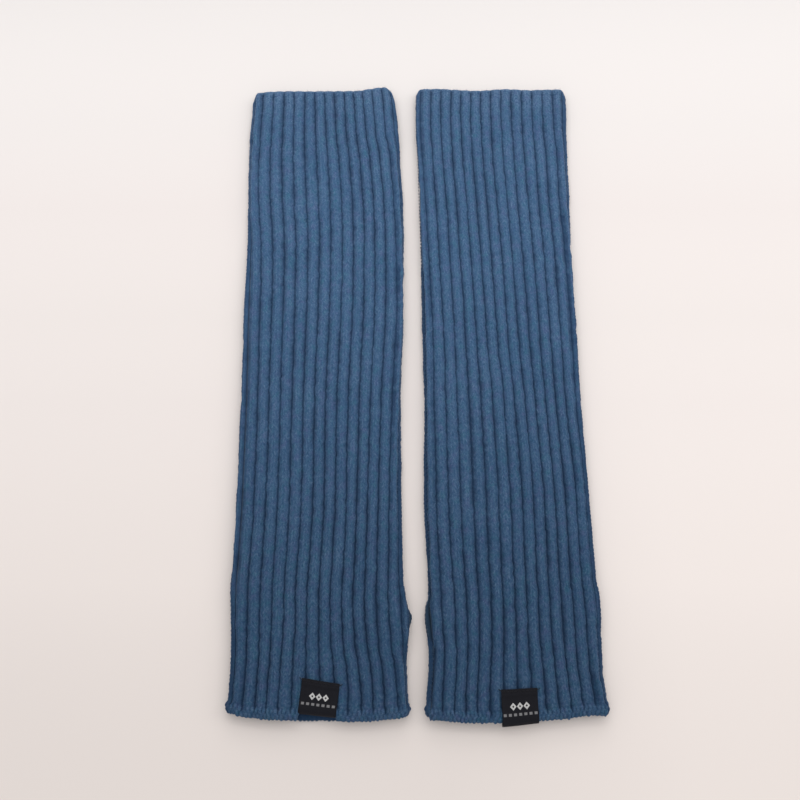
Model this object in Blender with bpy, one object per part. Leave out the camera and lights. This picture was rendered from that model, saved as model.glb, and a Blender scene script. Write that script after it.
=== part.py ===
"""A pair of rib-knit arm warmers, laid flat side by side on a table.

Metres, +Z up.  X runs across the pair and Y runs along the sleeves, with the
hand hems at -Y and the elbow ends at +Y.  The origin is in the middle of the
pair, on the surface that it lies on.

Each warmer is a knitted tube pressed flat, so its section is two level walls
joined by half rounds.  A place on the tube is given by two numbers: how far
round it lies, counted in ribs from the thumb seam, and how far up it lies,
counted in millimetres from the hand hem.
"""

from collections import namedtuple
import math

import bmesh
import bpy
import numpy as np

# ---------------------------------------------------------------------------
# Driving dimensions, in millimetres unless a name says otherwise
# ---------------------------------------------------------------------------
MILLIMETRE = 0.001
RIBS_ROUND = 30
RIBS_ON_PANEL = RIBS_ROUND // 2
HEM_ALONG = -189.9
ELBOW_ALONG = 189.6
LENGTH = ELBOW_ALONG - HEM_ALONG
WALL = 2.6
WALL_END_TAPER = 0.6
WALL_END_REACH = 1.0
RIB_DEPTH = 1.2
RIB_ROUNDNESS = 4
SEAM_GAP = 0.3
EDGE_REACH = 60.0

# Where the tube turns to face the table, its ribs and bead are left off: they
# start where its outward direction points this far down, and are whole after
# this much more of a turn.
UNDERSIDE_START = -0.9
UNDERSIDE_SPAN = 0.6

# The thumb slit is a length of the side seam that was left open.
SLIT_MIDDLE = 47.0
SLIT_HALF = 18.0
SLIT_WIDTH = 2.0

# How far round the ribs are pushed apart by the stiff label, and how far up.
LABEL_PUSH_RIBS = 0.2
LABEL_PUSH_REACH_RIBS = 5.0
LABEL_PUSH_TOP = 20.0
LABEL_PUSH_FADE = 17.0

LABEL_THICKNESS = 0.5
LABEL_CLEARANCE = 0.35

# One row per section along a warmer: place along Y, middle and width across,
# height of the flat tube, then how the ribs lie round it, in ribs: the turn
# of the whole tube, the shift between its two sides and the shift of its middle.
Section = namedtuple("Section", "along centre width height turn sides middle")

LEFT_SECTIONS = (
    Section(-190, -48.7, 93.2, 7.0, -0.64, -0.15, -0.03),
    Section(-178, -48.7, 91.9, 6.9, -0.64, -0.15, -0.03),
    Section(-165, -49.0, 90.9, 6.8, -0.62, -0.13, -0.03),
    Section(-155, -48.9, 91.6, 6.7, -0.48, 0.08, -0.03),
    Section(-147, -48.8, 92.5, 6.7, -0.38, 0.24, 0.00),
    Section(-138, -48.8, 93.8, 6.7, -0.29, 0.36, 0.02),
    Section(-129, -50.0, 92.8, 6.6, -0.45, 0.30, 0.02),
    Section(-118, -51.0, 91.8, 6.5, -0.61, 0.23, 0.03),
    Section(-75, -51.4, 90.2, 6.3, -0.82, 0.18, 0.10),
    Section(-17, -51.5, 90.6, 6.2, -0.88, 0.00, 0.05),
    Section(45, -50.9, 93.5, 6.2, -0.88, -0.08, 0.09),
    Section(77, -50.9, 93.5, 6.2, -0.83, -0.14, 0.13),
    Section(111, -52.0, 93.8, 6.2, -0.66, -0.24, 0.19),
    Section(139, -53.3, 92.8, 6.2, -0.60, -0.27, 0.18),
    Section(160, -53.8, 92.0, 6.3, -0.46, -0.06, 0.15),
    Section(176, -54.1, 90.6, 6.4, -0.44, 0.06, 0.12),
    Section(190, -54.8, 88.8, 6.5, -0.44, 0.08, 0.12),
)

RIGHT_SECTIONS = (
    Section(-190, 52.6, 93.4, 7.0, 0.60, -0.06, 0.03),
    Section(-178, 52.1, 91.4, 6.9, 0.60, -0.06, 0.03),
    Section(-165, 52.2, 89.7, 6.8, 0.60, -0.06, 0.03),
    Section(-155, 52.2, 89.9, 6.7, 0.59, 0.01, 0.00),
    Section(-147, 51.9, 90.6, 6.7, 0.62, 0.06, -0.04),
    Section(-138, 52.0, 91.4, 6.7, 0.66, 0.11, -0.07),
    Section(-128, 52.7, 90.5, 6.6, 0.58, 0.08, -0.09),
    Section(-118, 52.0, 89.6, 6.5, 0.54, 0.06, -0.11),
    Section(-75, 50.6, 90.1, 6.3, 0.59, 0.00, -0.17),
    Section(-17, 50.3, 88.3, 6.2, 0.36, 0.04, -0.15),
    Section(13, 50.0, 88.8, 6.2, 0.25, 0.10, -0.04),
    Section(77, 49.7, 90.5, 6.2, -0.04, 0.12, 0.05),
    Section(111, 49.4, 91.4, 6.2, -0.14, 0.15, 0.09),
    Section(139, 49.2, 92.5, 6.2, -0.28, 0.12, 0.09),
    Section(160, 48.8, 93.6, 6.3, -0.39, 0.17, 0.05),
    Section(176, 49.2, 94.2, 6.4, -0.46, 0.20, 0.06),
    Section(190, 49.5, 93.8, 6.5, -0.46, 0.20, 0.06),
)

# One row per place across a warmer, from its outer side (-1) to its inner side
# (+1): how far the upper and the under layer stand back at the hand hem, and
# how far the elbow end reaches past its straight line.
Edge = namedtuple("Edge", "across upper under elbow")

LEFT_EDGES = (
    Edge(-1.00, 5.4, 5.2, -7.5),
    Edge(-0.94, 4.3, 3.5, -2.0),
    Edge(-0.80, 3.8, 2.3, -0.4),
    Edge(-0.50, 3.9, 1.1, 0.0),
    Edge(-0.20, 3.7, 0.0, 0.0),
    Edge(0.20, 2.5, 0.0, 0.0),
    Edge(0.50, 2.4, 0.7, 0.1),
    Edge(0.66, 2.6, 1.2, 1.9),
    Edge(0.84, 3.2, 2.5, 1.7),
    Edge(0.94, 4.4, 4.0, -2.0),
    Edge(1.00, 6.5, 6.3, -8.0),
)

RIGHT_EDGES = (
    Edge(-1.00, 7.0, 6.8, -3.5),
    Edge(-0.93, 4.6, 3.5, 0.4),
    Edge(-0.80, 3.4, 2.3, 0.9),
    Edge(-0.50, 2.3, 1.1, 0.5),
    Edge(-0.20, 1.8, 0.0, 1.0),
    Edge(0.20, 1.8, -0.3, 0.2),
    Edge(0.50, 2.1, 0.3, 0.1),
    Edge(0.70, 2.4, 1.1, 0.9),
    Edge(0.93, 3.3, 2.5, 0.4),
    Edge(1.00, 5.5, 5.0, -3.2),
)

# One row per distance from an edge: how far the wall's outer side stands out,
# and the share of the ribs' full depth that is left there.
Finish = namedtuple("Finish", "distance rise ribs")

HEM_BEAD = (
    Finish(0.0, -0.80, 0.15),
    Finish(0.8, 0.15, 0.15),
    Finish(2.4, 0.50, 0.15),
    Finish(4.0, 0.20, 0.20),
    Finish(5.4, -0.40, 0.50),
    Finish(8.0, 0.00, 1.00),
)

ELBOW_RIM = (
    Finish(0.0, -0.90, 0.60),
    Finish(1.0, -0.20, 0.80),
    Finish(3.5, 0.00, 1.00),
)

# Rows of the walls, as distances up from the hem and down from the elbow end.
HEM_ROWS = (0.0, 0.8, 2.4, 4.0, 5.4, 8.0, 14.0, 21.0)
SLIT_ROWS = (29.0, 35.0, 41.0, 47.0, 53.0, 59.0, 65.0)
BODY_ROWS = (82.0, 110.0, 145.0, 185.0, 225.0, 260.0, 295.0, 325.0, 350.0)
ELBOW_ROWS = (14.0, 7.0, 3.5, 1.0, 0.0)

# Places across one rib: its groove, its two shoulders and its crown.
RIB_STEPS = (0.0, 0.18, 0.5, 0.82)
RIBS_SHAPED_UNDER = 3

# One row per place along a label, from its stitched top over the hem and in:
# the height above the fold, and how far it has gone from the outer to the
# inner leaf.
LabelRow = namedtuple("LabelRow", "above inward")

LABEL_ROWS = (
    LabelRow(16.6, 0.00),
    LabelRow(12.5, 0.00),
    LabelRow(9.0, 0.00),
    LabelRow(6.5, 0.00),
    LabelRow(4.6, 0.00),
    LabelRow(3.0, 0.00),
    LabelRow(1.6, 0.02),
    LabelRow(0.4, 0.10),
    LabelRow(-0.4, 0.30),
    LabelRow(-0.7, 0.55),
    LabelRow(-0.4, 0.80),
    LabelRow(0.6, 0.97),
    LabelRow(2.6, 1.00),
    LabelRow(5.5, 1.00),
)
LABEL_COLUMNS = 7

# How high a label rides over the hem's bead, by distance up from the hem.
Ride = namedtuple("Ride", "distance rise")

LABEL_RIDE = (
    Ride(-4.0, -0.60),
    Ride(0.4, 0.45),
    Ride(2.4, 0.62),
    Ride(5.4, 0.22),
    Ride(9.0, 0.05),
)

# One label per warmer: its width, its middle across from the section's middle,
# how far its fold hangs past the hem, and its two leans.
Label = namedtuple("Label", "width across overhang lean tilt")

# A warmer's inner side is the one that faces the other warmer: inward is the
# sign of X on that side.
Warmer = namedtuple("Warmer", "name inward sections edges label")

WARMERS = (
    Warmer("left", 1.0, LEFT_SECTIONS, LEFT_EDGES, Label(19.2, -0.4, 0.5, 0.11, -0.05)),
    Warmer("right", -1.0, RIGHT_SECTIONS, RIGHT_EDGES, Label(18.4, 1.0, 2.2, 0.01, 0.03)),
)

# Base colour, roughness and metallic value of each material.
WOOL_COLOUR = (0.045, 0.095, 0.175, 1.0)
WOOL_ROUGHNESS = 0.95
LABEL_COLOUR = (0.012, 0.013, 0.018, 1.0)
LABEL_ROUGHNESS = 0.7


# ---------------------------------------------------------------------------
# Reading the tables
# ---------------------------------------------------------------------------
def column(rows, name):
    """One named column of a table, as an array."""
    return np.array([getattr(row, name) for row in rows], dtype=float)


def smooth(rows, key, name, at):
    """A table's column read at any place, on a curve that never overshoots.

    Between two rows it is the cubic whose slope at each row is the harmonic
    mean of the slopes on its two sides, or nothing where they disagree.
    """
    known = column(rows, key)
    values = column(rows, name)
    step = np.diff(known)
    rise = np.diff(values) / step
    slope = np.empty_like(values)
    slope[0] = rise[0]
    slope[-1] = rise[-1]
    product = rise[:-1] * rise[1:]
    total = np.where(np.abs(rise[:-1] + rise[1:]) > 0.0, rise[:-1] + rise[1:], 1.0)
    slope[1:-1] = np.where(product > 0.0, 2.0 * product / total, 0.0)
    place = np.clip(np.asarray(at, dtype=float), known[0], known[-1])
    left = np.clip(np.searchsorted(known, place, side="right") - 1, 0, len(step) - 1)
    t = (place - known[left]) / step[left]
    return (
        (1.0 + 2.0 * t) * (1.0 - t) ** 2 * values[left]
        + t * (1.0 - t) ** 2 * step[left] * slope[left]
        + t * t * (3.0 - 2.0 * t) * values[left + 1]
        + t * t * (t - 1.0) * step[left] * slope[left + 1]
    )


def fade(distance, reach):
    """One at an edge, falling smoothly to nothing at the reach."""
    t = np.clip(distance / reach, 0.0, 1.0)
    return 1.0 - t * t * (3.0 - 2.0 * t)


# ---------------------------------------------------------------------------
# The flat tube
# ---------------------------------------------------------------------------
def half_round(warmer, along):
    """Length of the crest line from one side of the tube to the other."""
    radius = smooth(warmer.sections, "along", "height", along) / 2.0
    width = smooth(warmer.sections, "along", "width", along)
    return width - 2.0 * radius + math.pi * radius


def rib_place(warmer, ribs, up):
    """Distance round the crest line, from the inner side, of a rib number.

    The ribs are evenly spread, turned with the tube, eased to its sides or
    its middle, and pushed apart where the label holds them.
    """
    along = HEM_ALONG + up
    turn = smooth(warmer.sections, "along", "turn", along)
    sides = smooth(warmer.sections, "along", "sides", along)
    middle = smooth(warmer.sections, "along", "middle", along)
    angle = 2.0 * math.pi * ribs / RIBS_ROUND
    shift = turn + sides * np.cos(angle) + middle * np.cos(2.0 * angle)
    label_rib = RIBS_ON_PANEL / 2.0 - turn
    across = np.clip((ribs - label_rib) / LABEL_PUSH_REACH_RIBS, -1.0, 1.0)
    height = np.maximum(up - LABEL_PUSH_TOP, 0.0) / LABEL_PUSH_FADE
    shift = shift + LABEL_PUSH_RIBS * np.sin(math.pi * across) * np.exp(-height * height)
    return (ribs + shift) * half_round(warmer, along) / RIBS_ON_PANEL


def crest(warmer, place, along):
    """Point and outward direction, across and up, on the tube's crest line.

    The line is a quarter round up from the inner side, a level run over the
    top, a half round down the outer side, the level underside and the last
    quarter round back.
    """
    radius = smooth(warmer.sections, "along", "height", along) / 2.0
    flat = smooth(warmer.sections, "along", "width", along) / 2.0 - radius
    half = half_round(warmer, along)
    round_length = math.pi * radius / 2.0
    wrapped = np.mod(place + half, 2.0 * half) - half
    above = np.where(wrapped >= 0.0, 1.0, -1.0)
    distance = np.abs(wrapped)
    near = np.minimum(distance, round_length) / radius
    far = np.maximum(distance - (half - round_length), 0.0) / radius
    level = np.clip(distance - round_length, 0.0, 2.0 * flat)
    angle = near + far
    across = flat - level + radius * np.cos(angle)
    height = radius + above * radius * np.sin(angle)
    return across, height, np.cos(angle), above * np.sin(angle)


def wall_points(warmer, layer, place, up, offset):
    """Points of a wall in metres: the crest line moved out by the offset.

    The ends then follow the outline of the hem and of the elbow end, which
    fade out a hand's width into the tube.
    """
    along = HEM_ALONG + up
    across, height, out_across, out_up = crest(warmer, place, along)
    across = across + offset * out_across
    height = height + offset * out_up
    half_width = smooth(warmer.sections, "along", "width", along) / 2.0
    share = np.clip(across / half_width, -1.0, 1.0)
    hem = smooth(warmer.edges, "across", layer, share)
    elbow = smooth(warmer.edges, "across", "elbow", share)
    along = along + hem * fade(up, EDGE_REACH) + elbow * fade(LENGTH - up, EDGE_REACH)
    centre = smooth(warmer.sections, "along", "centre", HEM_ALONG + up)
    x = centre + warmer.inward * across
    return np.stack(np.broadcast_arrays(x, along, height), axis=-1) * MILLIMETRE


def rib_relief(ribs):
    """One in a groove and nothing on a crown: a high power makes the crown broad."""
    share = np.mod(ribs, 1.0)
    return np.abs(2.0 * share - 1.0) ** RIB_ROUNDNESS


def outer_offset(warmer, place, ribs, up):
    """How far a wall's outer side stands from the crest line.

    Ribs and bead are left off where the tube faces the table, so that its
    underside is flat.
    """
    down = LENGTH - up
    rise = smooth(HEM_BEAD, "distance", "rise", up) + smooth(ELBOW_RIM, "distance", "rise", down)
    share = smooth(HEM_BEAD, "distance", "ribs", up) * smooth(ELBOW_RIM, "distance", "ribs", down)
    out_up = crest(warmer, place, HEM_ALONG + up)[3]
    shown = np.clip((out_up - UNDERSIDE_START) / UNDERSIDE_SPAN, 0.0, 1.0)
    bead = np.minimum(rise, 0.0) + np.maximum(rise, 0.0) * shown
    return bead - RIB_DEPTH * rib_relief(ribs) * share * shown


def inner_offset(up):
    """How far a wall's plain inner side stands in from the crest line."""
    end = np.minimum(up, LENGTH - up)
    return -WALL + WALL_END_TAPER * fade(end, WALL_END_REACH)


def edge_inset(up):
    """Half the seam gap, and more along the thumb slit."""
    place = (up - SLIT_MIDDLE) / SLIT_HALF
    return SEAM_GAP / 2.0 + SLIT_WIDTH / 2.0 * np.maximum(1.0 - place * place, 0.0)


def wall_rows():
    """Distances up from the hem of a wall's rows."""
    elbow = tuple(LENGTH - row for row in ELBOW_ROWS)
    return np.array(HEM_ROWS + SLIT_ROWS + BODY_ROWS + elbow)


def outer_columns(layer):
    """Rib numbers of a wall's outer columns.

    The upper layer has every rib shaped, and the under layer only the ribs
    at its two sides, because its middle lies on the table.
    """
    first = 0 if layer == "upper" else RIBS_ON_PANEL
    columns = []
    for rib in range(RIBS_ON_PANEL):
        side = min(rib, RIBS_ON_PANEL - 1 - rib)
        shaped = layer == "upper" or side < RIBS_SHAPED_UNDER
        for step in RIB_STEPS if shaped else RIB_STEPS[:1]:
            columns.append(first + rib + step)
    columns.append(first + RIBS_ON_PANEL)
    return np.array(columns, dtype=float)


def wall_grid(warmer, layer, columns, inner):
    """Grid of points of a wall's outer or inner side, rows by columns."""
    up = wall_rows()[:, np.newaxis]
    ribs = columns[np.newaxis, :]
    place = rib_place(warmer, ribs, up) + np.zeros_like(up)
    seam_inset = edge_inset(up)[:, 0]
    fold_inset = SEAM_GAP / 2.0
    first_is_seam = layer == "upper"
    place[:, 0] += seam_inset if first_is_seam else fold_inset
    place[:, -1] -= fold_inset if first_is_seam else seam_inset
    if inner:
        offset = inner_offset(up)
    else:
        offset = outer_offset(warmer, place, ribs, up)
    return wall_points(warmer, layer, place, up, offset)


# ---------------------------------------------------------------------------
# Making objects
# ---------------------------------------------------------------------------
def clear_objects():
    """Empty the scene of objects and leave the file open."""
    for item in list(bpy.data.objects):
        bpy.data.objects.remove(item, do_unlink=True)


def new_material(name, colour, roughness):
    """A plain Principled material."""
    material = bpy.data.materials.new(name)
    material.use_nodes = True
    shader = material.node_tree.nodes["Principled BSDF"]
    shader.inputs["Base Color"].default_value = colour
    shader.inputs["Roughness"].default_value = roughness
    shader.inputs["Metallic"].default_value = 0.0
    return material


def new_object(name, shape, material, parent):
    """Turn a closed bmesh into a named object with its faces out."""
    bmesh.ops.recalc_face_normals(shape, faces=shape.faces)
    mesh = bpy.data.meshes.new(name)
    shape.to_mesh(mesh)
    shape.free()
    mesh.materials.append(material)
    mesh.shade_smooth()
    mesh.set_sharp_from_angle(angle=math.radians(50.0))
    item = bpy.data.objects.new(name, mesh)
    item.parent = parent
    bpy.context.scene.collection.objects.link(item)
    return item


def add_grid(shape, points):
    """Add a grid of points to a bmesh and return its vertices, row by row."""
    return [[shape.verts.new(point) for point in row] for row in points]


def fill_grid(shape, rows):
    """Fill every cell of a grid of vertices with a face."""
    for low, high in zip(rows[:-1], rows[1:]):
        for cell in range(len(low) - 1):
            shape.faces.new((low[cell], low[cell + 1], high[cell + 1], high[cell]))


def close_end(shape, outer_row, inner_row, outer_ribs, inner_ribs):
    """Close a wall's end with one face per rib, from groove to groove."""
    for cell in range(len(inner_row) - 1):
        first = int(np.searchsorted(outer_ribs, inner_ribs[cell]))
        last = int(np.searchsorted(outer_ribs, inner_ribs[cell + 1]))
        shape.faces.new(outer_row[first:last + 1] + [inner_row[cell + 1], inner_row[cell]])


def add_wall(warmer, layer, name, material, parent):
    """One knitted wall: ribbed outside, plain inside, closed at all four edges."""
    outer_ribs = outer_columns(layer)
    inner_ribs = outer_ribs[np.mod(outer_ribs, 1.0) == 0.0]
    shape = bmesh.new()
    outer = add_grid(shape, wall_grid(warmer, layer, outer_ribs, False))
    inner = add_grid(shape, wall_grid(warmer, layer, inner_ribs, True))
    fill_grid(shape, outer)
    fill_grid(shape, inner)
    close_end(shape, outer[0], inner[0], outer_ribs, inner_ribs)
    close_end(shape, outer[-1], inner[-1], outer_ribs, inner_ribs)
    for side in (0, -1):
        fill_grid(shape, [[row[side] for row in outer], [row[side] for row in inner]])
    return new_object(name, shape, material, parent)


def label_points(warmer):
    """Middle surface of a label, made from the upper wall's points.

    It lies on the crowns of the ribs, rides over the hem's bead, folds round
    the hem and ends inside the tube.
    """
    label = warmer.label
    above = column(LABEL_ROWS, "above")[:, np.newaxis]
    inward = column(LABEL_ROWS, "inward")[:, np.newaxis]
    side = np.linspace(-0.5, 0.5, LABEL_COLUMNS)[np.newaxis, :] * label.width
    up = above - label.overhang + label.tilt * side
    across = label.across + side + label.lean * above
    along = HEM_ALONG + np.clip(up, 0.0, None)
    radius = smooth(warmer.sections, "along", "height", along) / 2.0
    half_width = smooth(warmer.sections, "along", "width", along) / 2.0
    place = half_width - warmer.inward * across + (math.pi / 2.0 - 1.0) * radius
    gap = LABEL_CLEARANCE + LABEL_THICKNESS / 2.0
    outside = smooth(LABEL_RIDE, "distance", "rise", up) + gap
    inside = -WALL - gap
    offset = outside * (1.0 - inward) + inside * inward
    points = wall_points(warmer, "upper", place, np.maximum(up, 0.0), offset)
    points[:, :, 1] += np.minimum(up, 0.0) * MILLIMETRE
    return points


def grid_normals(points):
    """Unit directions square to a grid of points."""
    down = np.gradient(points, axis=0)
    over = np.gradient(points, axis=1)
    square = np.cross(down, over)
    return square / np.linalg.norm(square, axis=2, keepdims=True)


def add_label(warmer, name, material, parent):
    """One woven label, a folded band of even thickness."""
    middle = label_points(warmer)
    push = grid_normals(middle) * LABEL_THICKNESS / 2.0 * MILLIMETRE
    shape = bmesh.new()
    front = add_grid(shape, middle + push)
    back = add_grid(shape, middle - push)
    fill_grid(shape, front)
    fill_grid(shape, back)
    for end in (0, -1):
        fill_grid(shape, [front[end], back[end]])
        fill_grid(shape, [[row[end] for row in front], [row[end] for row in back]])
    return new_object(name, shape, material, parent)


def build():
    """Model both warmers, each under its own empty."""
    clear_objects()
    for warmer in WARMERS:
        wool = new_material(warmer.name + "_wool", WOOL_COLOUR, WOOL_ROUGHNESS)
        woven = new_material(warmer.name + "_label_weave", LABEL_COLOUR, LABEL_ROUGHNESS)
        stand = bpy.data.objects.new(warmer.name + "_warmer", None)
        bpy.context.scene.collection.objects.link(stand)
        add_wall(warmer, "upper", warmer.name + "_front", wool, stand)
        add_wall(warmer, "under", warmer.name + "_back", wool, stand)
        add_label(warmer, warmer.name + "_label", woven, stand)


build()
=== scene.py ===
# %% [markdown]
# # A pair of rib-knit arm warmers
#
# The real things are two straight tubes of blue wool, knitted in broad ribs,
# laid side by side on a pale table.  Each has a chunky cast-off edge at the hand,
# a thumb slit in the seam that faces the other warmer, and a small black woven
# label folded over that edge.  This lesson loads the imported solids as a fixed
# frame, then knits a finer skin over every one of them.

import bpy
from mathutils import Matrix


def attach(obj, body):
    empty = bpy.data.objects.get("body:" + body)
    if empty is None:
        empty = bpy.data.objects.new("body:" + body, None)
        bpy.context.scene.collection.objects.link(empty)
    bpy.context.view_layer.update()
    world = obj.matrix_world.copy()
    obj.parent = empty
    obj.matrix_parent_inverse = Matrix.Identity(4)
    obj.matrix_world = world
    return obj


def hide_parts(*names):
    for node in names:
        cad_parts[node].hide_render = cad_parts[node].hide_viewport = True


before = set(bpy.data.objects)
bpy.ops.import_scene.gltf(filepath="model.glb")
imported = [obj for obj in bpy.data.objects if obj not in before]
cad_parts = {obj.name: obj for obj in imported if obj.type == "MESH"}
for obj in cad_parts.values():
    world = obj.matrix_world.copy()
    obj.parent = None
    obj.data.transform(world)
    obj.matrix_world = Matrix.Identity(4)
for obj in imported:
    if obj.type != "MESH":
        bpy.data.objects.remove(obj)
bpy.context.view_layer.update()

# %% [markdown]
# ## The flat tube
#
# A knitted tube pressed flat has a section like a running track: two level
# walls joined by half rounds.  It could be drawn with curves and lofted, but a
# rule is better here, because every stitch then knows where it belongs.  A place
# on the tube is a rib number, counted round from the thumb seam, and a distance
# up from the hand hem.  The tables say how wide each tube is, where its middle
# lies and how its ribs have turned, every few centimetres.

# %% Tables of the two tubes, in millimetres
from collections import namedtuple
import math

import bpy
import numpy as np

MILLIMETRE = 0.001
RIBS_ROUND = 30
RIBS_ON_PANEL = RIBS_ROUND // 2
HEM_ALONG = -189.9
ELBOW_ALONG = 189.6
LENGTH = ELBOW_ALONG - HEM_ALONG
EDGE_REACH = 60.0

# Place along Y, middle and width across, height of the flat tube, then the turn
# of the whole tube, the shift between its sides and the shift of its middle, in ribs.
Section = namedtuple("Section", "along centre width height turn sides middle")

LEFT_SECTIONS = (
    Section(-190, -48.7, 93.2, 7.0, -0.64, -0.15, -0.03),
    Section(-178, -48.7, 91.9, 6.9, -0.64, -0.15, -0.03),
    Section(-165, -49.0, 90.9, 6.8, -0.62, -0.05, -0.05),
    Section(-155, -48.9, 91.6, 6.7, -0.47, 0.12, -0.04),
    Section(-147, -48.2, 93.7, 6.7, -0.31, 0.29, -0.01),
    Section(-138, -47.9, 95.5, 6.7, -0.19, 0.46, 0.02),
    Section(-129, -49.8, 93.2, 6.6, -0.44, 0.33, 0.01),
    Section(-118, -51.0, 91.8, 6.5, -0.64, 0.25, 0.04),
    Section(-75, -51.4, 90.2, 6.3, -0.87, 0.18, 0.13),
    Section(-17, -51.5, 90.6, 6.2, -0.90, 0.01, 0.04),
    Section(45, -50.9, 93.5, 6.2, -0.93, -0.12, 0.06),
    Section(77, -50.9, 93.5, 6.2, -0.86, -0.14, 0.13),
    Section(111, -52.0, 93.8, 6.2, -0.74, -0.23, 0.22),
    Section(139, -53.3, 92.8, 6.2, -0.66, -0.21, 0.18),
    Section(160, -53.8, 92.0, 6.3, -0.49, 0.03, 0.15),
    Section(176, -54.1, 90.6, 6.4, -0.44, 0.06, 0.12),
    Section(190, -54.8, 88.8, 6.5, -0.44, 0.08, 0.12),
)

RIGHT_SECTIONS = (
    Section(-190, 52.6, 93.4, 7.0, 0.60, -0.06, 0.03),
    Section(-178, 52.1, 91.4, 6.9, 0.60, -0.06, 0.03),
    Section(-165, 52.2, 89.7, 6.8, 0.59, 0.03, 0.01),
    Section(-155, 52.2, 89.9, 6.7, 0.59, 0.09, 0.01),
    Section(-147, 51.9, 90.6, 6.7, 0.61, 0.10, -0.02),
    Section(-138, 51.7, 92.1, 6.7, 0.64, 0.19, -0.05),
    Section(-133, 51.8, 92.1, 6.7, 0.60, 0.18, -0.07),
    Section(-127, 52.5, 90.9, 6.6, 0.51, 0.13, -0.09),
    Section(-118, 52.0, 89.6, 6.5, 0.52, 0.04, -0.13),
    Section(-75, 50.6, 90.1, 6.3, 0.63, -0.03, -0.22),
    Section(-17, 50.3, 88.3, 6.2, 0.39, 0.03, -0.19),
    Section(13, 50.0, 88.8, 6.2, 0.28, 0.07, -0.03),
    Section(77, 49.7, 90.5, 6.2, -0.01, 0.09, 0.02),
    Section(111, 49.4, 91.4, 6.2, -0.20, 0.15, 0.03),
    Section(139, 49.2, 92.5, 6.2, -0.35, 0.11, 0.10),
    Section(160, 48.8, 93.6, 6.3, -0.39, 0.17, 0.05),
    Section(176, 49.2, 94.2, 6.4, -0.46, 0.20, 0.06),
    Section(190, 49.5, 93.8, 6.5, -0.46, 0.20, 0.06),
)

# Place across a warmer from its outer side (-1) to its inner side (+1), how far
# the two layers stand back at the hem, and how far the elbow end reaches.
Edge = namedtuple("Edge", "across upper under elbow")

LEFT_EDGES = (
    Edge(-1.00, 4.2, 5.0, -9.5),
    Edge(-0.93, 3.8, 4.8, -4.0),
    Edge(-0.80, 2.3, 4.2, -2.9),
    Edge(-0.45, 1.0, 3.0, -2.3),
    Edge(-0.20, 0.8, 1.0, -2.4),
    Edge(0.20, 0.2, 1.0, -2.2),
    Edge(0.45, 0.2, 2.0, -2.0),
    Edge(0.64, 0.7, 2.6, -0.6),
    Edge(0.84, 1.6, 3.9, 0.6),
    Edge(0.94, 2.5, 4.6, -2.2),
    Edge(1.00, 5.0, 6.5, -8.0),
)

RIGHT_EDGES = (
    Edge(-1.00, 5.2, 6.2, -4.6),
    Edge(-0.93, 3.0, 5.2, -1.0),
    Edge(-0.80, 3.2, 5.4, -1.1),
    Edge(-0.50, 1.4, 3.6, -1.5),
    Edge(-0.20, 0.7, 2.9, -0.8),
    Edge(0.20, -0.5, 1.6, -2.0),
    Edge(0.50, -0.4, 2.0, -1.2),
    Edge(0.70, 0.1, 2.5, -0.6),
    Edge(0.93, 0.9, 3.0, -0.8),
    Edge(1.00, 1.5, 2.8, -4.0),
)

# A label's width, its middle from the warmer's middle, how far its fold hangs
# past the hem, its lean, the slopes of its fold and of its top, and how far it
# holds the hem back where it is.
Label = namedtuple("Label", "width across overhang lean tilt top_tilt pull")

# Inward is the sign of X on the side that faces the other warmer.  Lips are how
# far the upper and the under lip of the thumb slit draw back.
Warmer = namedtuple("Warmer", "name inward sections edges label lips seed")

LEFT_LABEL = Label(19.2, -0.4, 0.5, 0.11, -0.07, -0.14, 3.5)
RIGHT_LABEL = Label(18.4, 1.0, 1.45, 0.01, 0.03, -0.01, 0.3)
LEFT_LIPS = {"upper": 1.4, "under": 3.0}
RIGHT_LIPS = {"upper": 0.2, "under": 3.2}

WARMERS = (
    Warmer("left", 1.0, LEFT_SECTIONS, LEFT_EDGES, LEFT_LABEL, LEFT_LIPS, 11),
    Warmer("right", -1.0, RIGHT_SECTIONS, RIGHT_EDGES, RIGHT_LABEL, RIGHT_LIPS, 47),
)
print("tables for", [warmer.name for warmer in WARMERS])


# %% Read a table on a smooth curve
def column(rows, name):
    """One named column of a table, as an array."""
    return np.array([getattr(row, name) for row in rows], dtype=float)


def smooth(rows, key, name, at):
    """A table's column read at any place, on a curve that never overshoots.

    Between two rows it is the cubic whose slope at each row is the harmonic
    mean of the slopes on its two sides, or nothing where they disagree.
    """
    known = column(rows, key)
    values = column(rows, name)
    step = np.diff(known)
    rise = np.diff(values) / step
    slope = np.empty_like(values)
    slope[0] = rise[0]
    slope[-1] = rise[-1]
    product = rise[:-1] * rise[1:]
    total = np.where(np.abs(rise[:-1] + rise[1:]) > 0.0, rise[:-1] + rise[1:], 1.0)
    slope[1:-1] = np.where(product > 0.0, 2.0 * product / total, 0.0)
    place = np.clip(np.asarray(at, dtype=float), known[0], known[-1])
    left = np.clip(np.searchsorted(known, place, side="right") - 1, 0, len(step) - 1)
    t = (place - known[left]) / step[left]
    return (
        (1.0 + 2.0 * t) * (1.0 - t) ** 2 * values[left]
        + t * (1.0 - t) ** 2 * step[left] * slope[left]
        + t * t * (3.0 - 2.0 * t) * values[left + 1]
        + t * t * (t - 1.0) * step[left] * slope[left + 1]
    )


def ease(t):
    """3 t^2 - 2 t^3, with t held between nothing and one."""
    t = np.clip(t, 0.0, 1.0)
    return t * t * (3.0 - 2.0 * t)


def tube(warmer, name, along):
    """One measure of a warmer's section at any place along it."""
    return smooth(warmer.sections, "along", name, along)


print("width half way up:", [float(tube(warmer, "width", 0.0)) for warmer in WARMERS])


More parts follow.
